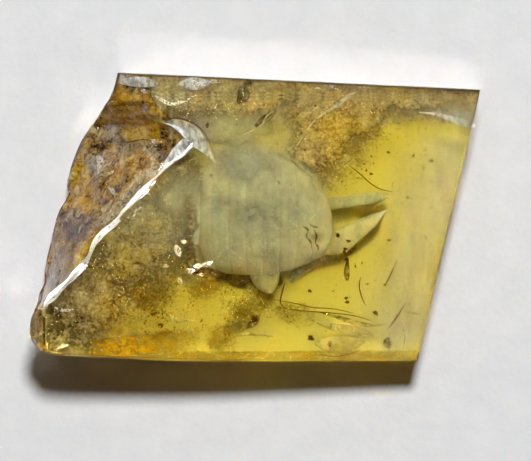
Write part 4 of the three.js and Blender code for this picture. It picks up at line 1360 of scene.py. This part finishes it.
def disc_light(name, azimuth, elevation, radius, power, colour=(1, 1, 1), glint=False):
    """A round lamp that faces the origin from a direction. Azimuth runs from +Y towards +X. A
    glint lamp shows in reflections only."""
    lamp = bpy.data.lights.new(name, "AREA")
    lamp.shape = "DISK"
    lamp.size = 2 * radius
    lamp.energy = power
    lamp.color = colour
    a, e = math.radians(azimuth), math.radians(elevation)
    way = Vector((math.sin(a) * math.cos(e), math.cos(a) * math.cos(e), math.sin(e)))
    place = LAMP_DISTANCE * way
    thing = bpy.data.objects.new(name, lamp)
    thing.location = place
    thing.rotation_euler = (-place).to_track_quat("-Z", "Y").to_euler()
    thing.visible_diffuse = not glint
    thing.visible_transmission = not glint
    bpy.context.scene.collection.objects.link(thing)


# Lamps that show in reflections only: azimuth, elevation, radius and power.
GLINTS = [
    ("ridge glint", -43, 65, 0.07, 1.4), ("break glint", -50, 44, 0.04, 0.3),
    ("left glint", -85, 55, 0.035, 0.3), ("back glint", -15, 40, 0.05, 0.2),
    ("top glint", -35, 82, 0.03, 0.4),
]


def lights():
    disc_light("key", azimuth=8, elevation=67, radius=0.05, power=3.7)
    disc_light("soft", azimuth=8, elevation=62, radius=0.22, power=0.04)
    disc_light("warm fill", azimuth=180, elevation=35, radius=0.2, power=0.15,
               colour=(1, 0.6, 0.2))
    for name, azimuth, elevation, radius, power in GLINTS:
        disc_light(name, azimuth, elevation, radius, power, glint=True)
    world = bpy.data.worlds.new("pale room")
    world.use_nodes = True
    world.node_tree.nodes["Background"].inputs["Color"].default_value = (1, 0.8, 0.45, 1)
    world.node_tree.nodes["Background"].inputs["Strength"].default_value = 0.025
    bpy.context.scene.world = world


def camera():
    lens = bpy.data.cameras.new("from above")
    lens.lens = CAMERA_LENS
    lens.clip_start = 0.01
    thing = bpy.data.objects.new("camera", lens)
    thing.location = CAMERA_PLACE
    bpy.context.scene.collection.objects.link(thing)
    bpy.context.scene.camera = thing


def light_paths():
    """Lets the key lamp's light through the amber and back: long paths, with no guiding, no
    clamp on bright ones and no blur of the glossy ones."""
    cycles = bpy.context.scene.cycles
    cycles.use_guiding = False
    cycles.sample_clamp_indirect = 0
    cycles.blur_glossy = 0
    cycles.max_bounces = 24
    cycles.diffuse_bounces = 12
    cycles.glossy_bounces = 12
    cycles.transmission_bounces = 24
    cycles.transparent_max_bounces = 32


def wear(piece, material):
    """The piece gets its material, rides on the object and takes its finish from a slot."""
    piece.data.materials.append(material)
    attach(piece, "root")
    return piece


def strewn_piece(name, places, sizes, seed, material):
    wear(new_piece(name, *grains(places, sizes, seed), smooth=False), material)


def strands(name, groups, material, sides=8, steps=28):
    points, faces = joined([tube(stops, sides=sides, steps=steps) for stops in groups])
    wear(new_piece(name, points, faces), material)


camera()
lights()
floor()
light_paths()
bpy.context.scene.view_settings.view_transform = "Standard"

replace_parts(wear(amber_block(), amber_material()),
            "amber_lower_half", "amber_upper_half")
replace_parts(wear(insect(), insect_material()), "insect")

wear(layer("brown_crust", SHOULDER_SIDES, lambda x, y, top: top - CRUST_DEPTH, (200, 280),
           crust_masks, margin=0.006), cloud_material("brown_crust", CRUST_COLOURS, 0.5))
cloud = cloud_material("flow_clouds", CLOUD_COLOURS, 0.15)
wear(layer("upper_clouds", SHOULDER_SIDES, lambda x, y, top: top - cloud_depth(x, y), (150, 220),
           upper_masks), cloud)
wear(layer("lower_clouds", BASE_SIDES,
           lambda x, y, top: LOWER_CLOUDS_HEIGHT + 0.2 * soft_noise((x, y), 2.5, 42), (140, 180),
           lower_masks), cloud)
# Painted light: pale haze for the glow near the right edge and the back right corner.
wear(layer("polish_haze", SHOULDER_SIDES, lambda x, y, top: top - HAZE_DEPTH, (80, 140),
           haze_masks, cover=["haze"], margin=0.005), haze_material())
# Painted light: an orange film for the glow that the front wall gathers.
wear(front_stain(), stain_material())

places = strewn(GRAIN_COUNT, grain_density, grain_height, 51)
sizes = np.random.default_rng(52).lognormal(-3.45, 0.45, len(places)).clip(0.014, 0.09)
strewn_piece("brown_grains", places, sizes, 53, grain_material())
places = strewn(FLAKE_COUNT, flake_density, grain_height, 56)
sizes = np.random.default_rng(57).lognormal(-3.7, 0.45, len(places)).clip(0.01, 0.07)
strewn_piece("golden_flakes", places, sizes, 58, flake_material())
specks = np.repeat(np.array(SPECKS), 3, axis=0)
specks[:, :3] += np.random.default_rng(54).normal(0, 0.04, (len(specks), 3))
strewn_piece("dark_specks", specks[:, :3], specks[:, 3], 55, speck_material())
strands("dark_strands", DARK_STRANDS + [sunk(stops) for stops in SHALLOW_STRANDS],
        speck_material())
strands("brown_smears", BROWN_SMEARS,
        smear_material("brown_film", (0.62, 0.42, 0.22), (0.36, 0.19, 0.09)), sides=12)
strands("insect_marks", INSECT_MARKS,
        smear_material("red_brown_film", (0.85, 0.52, 0.27), (0.55, 0.24, 0.1)), sides=12)
strands("grey_smears", GREY_SMEARS,
        smear_material("grey_film", (0.5, 0.53, 0.6), (0.2, 0.22, 0.27)), sides=12)
strands("pale_cracks", PALE_CRACKS, crack_material())
strands("lens_cracks", LENS_CRACKS, lens_material(), sides=24, steps=48)
# Painted reflections and glow on chip faces.
strands("chip_faces", [sunk(stops) for stops in CHIP_FACES], chip_material(), sides=24,
        steps=96)
# Painted highlights where small chips glint.
strands("white_glints", [sunk(stops) for stops in GLINT_FLAKES],
        glint_material("white_glints", 0.1, 0.43), sides=12)
# Painted highlight: a silvery line along the ridge that stands in for its white glint.
strands("ridge_wear", [sunk(RIDGE_WEAR)], glint_material("ridge_wear", 0.15, 0.34), sides=12,
        steps=96)
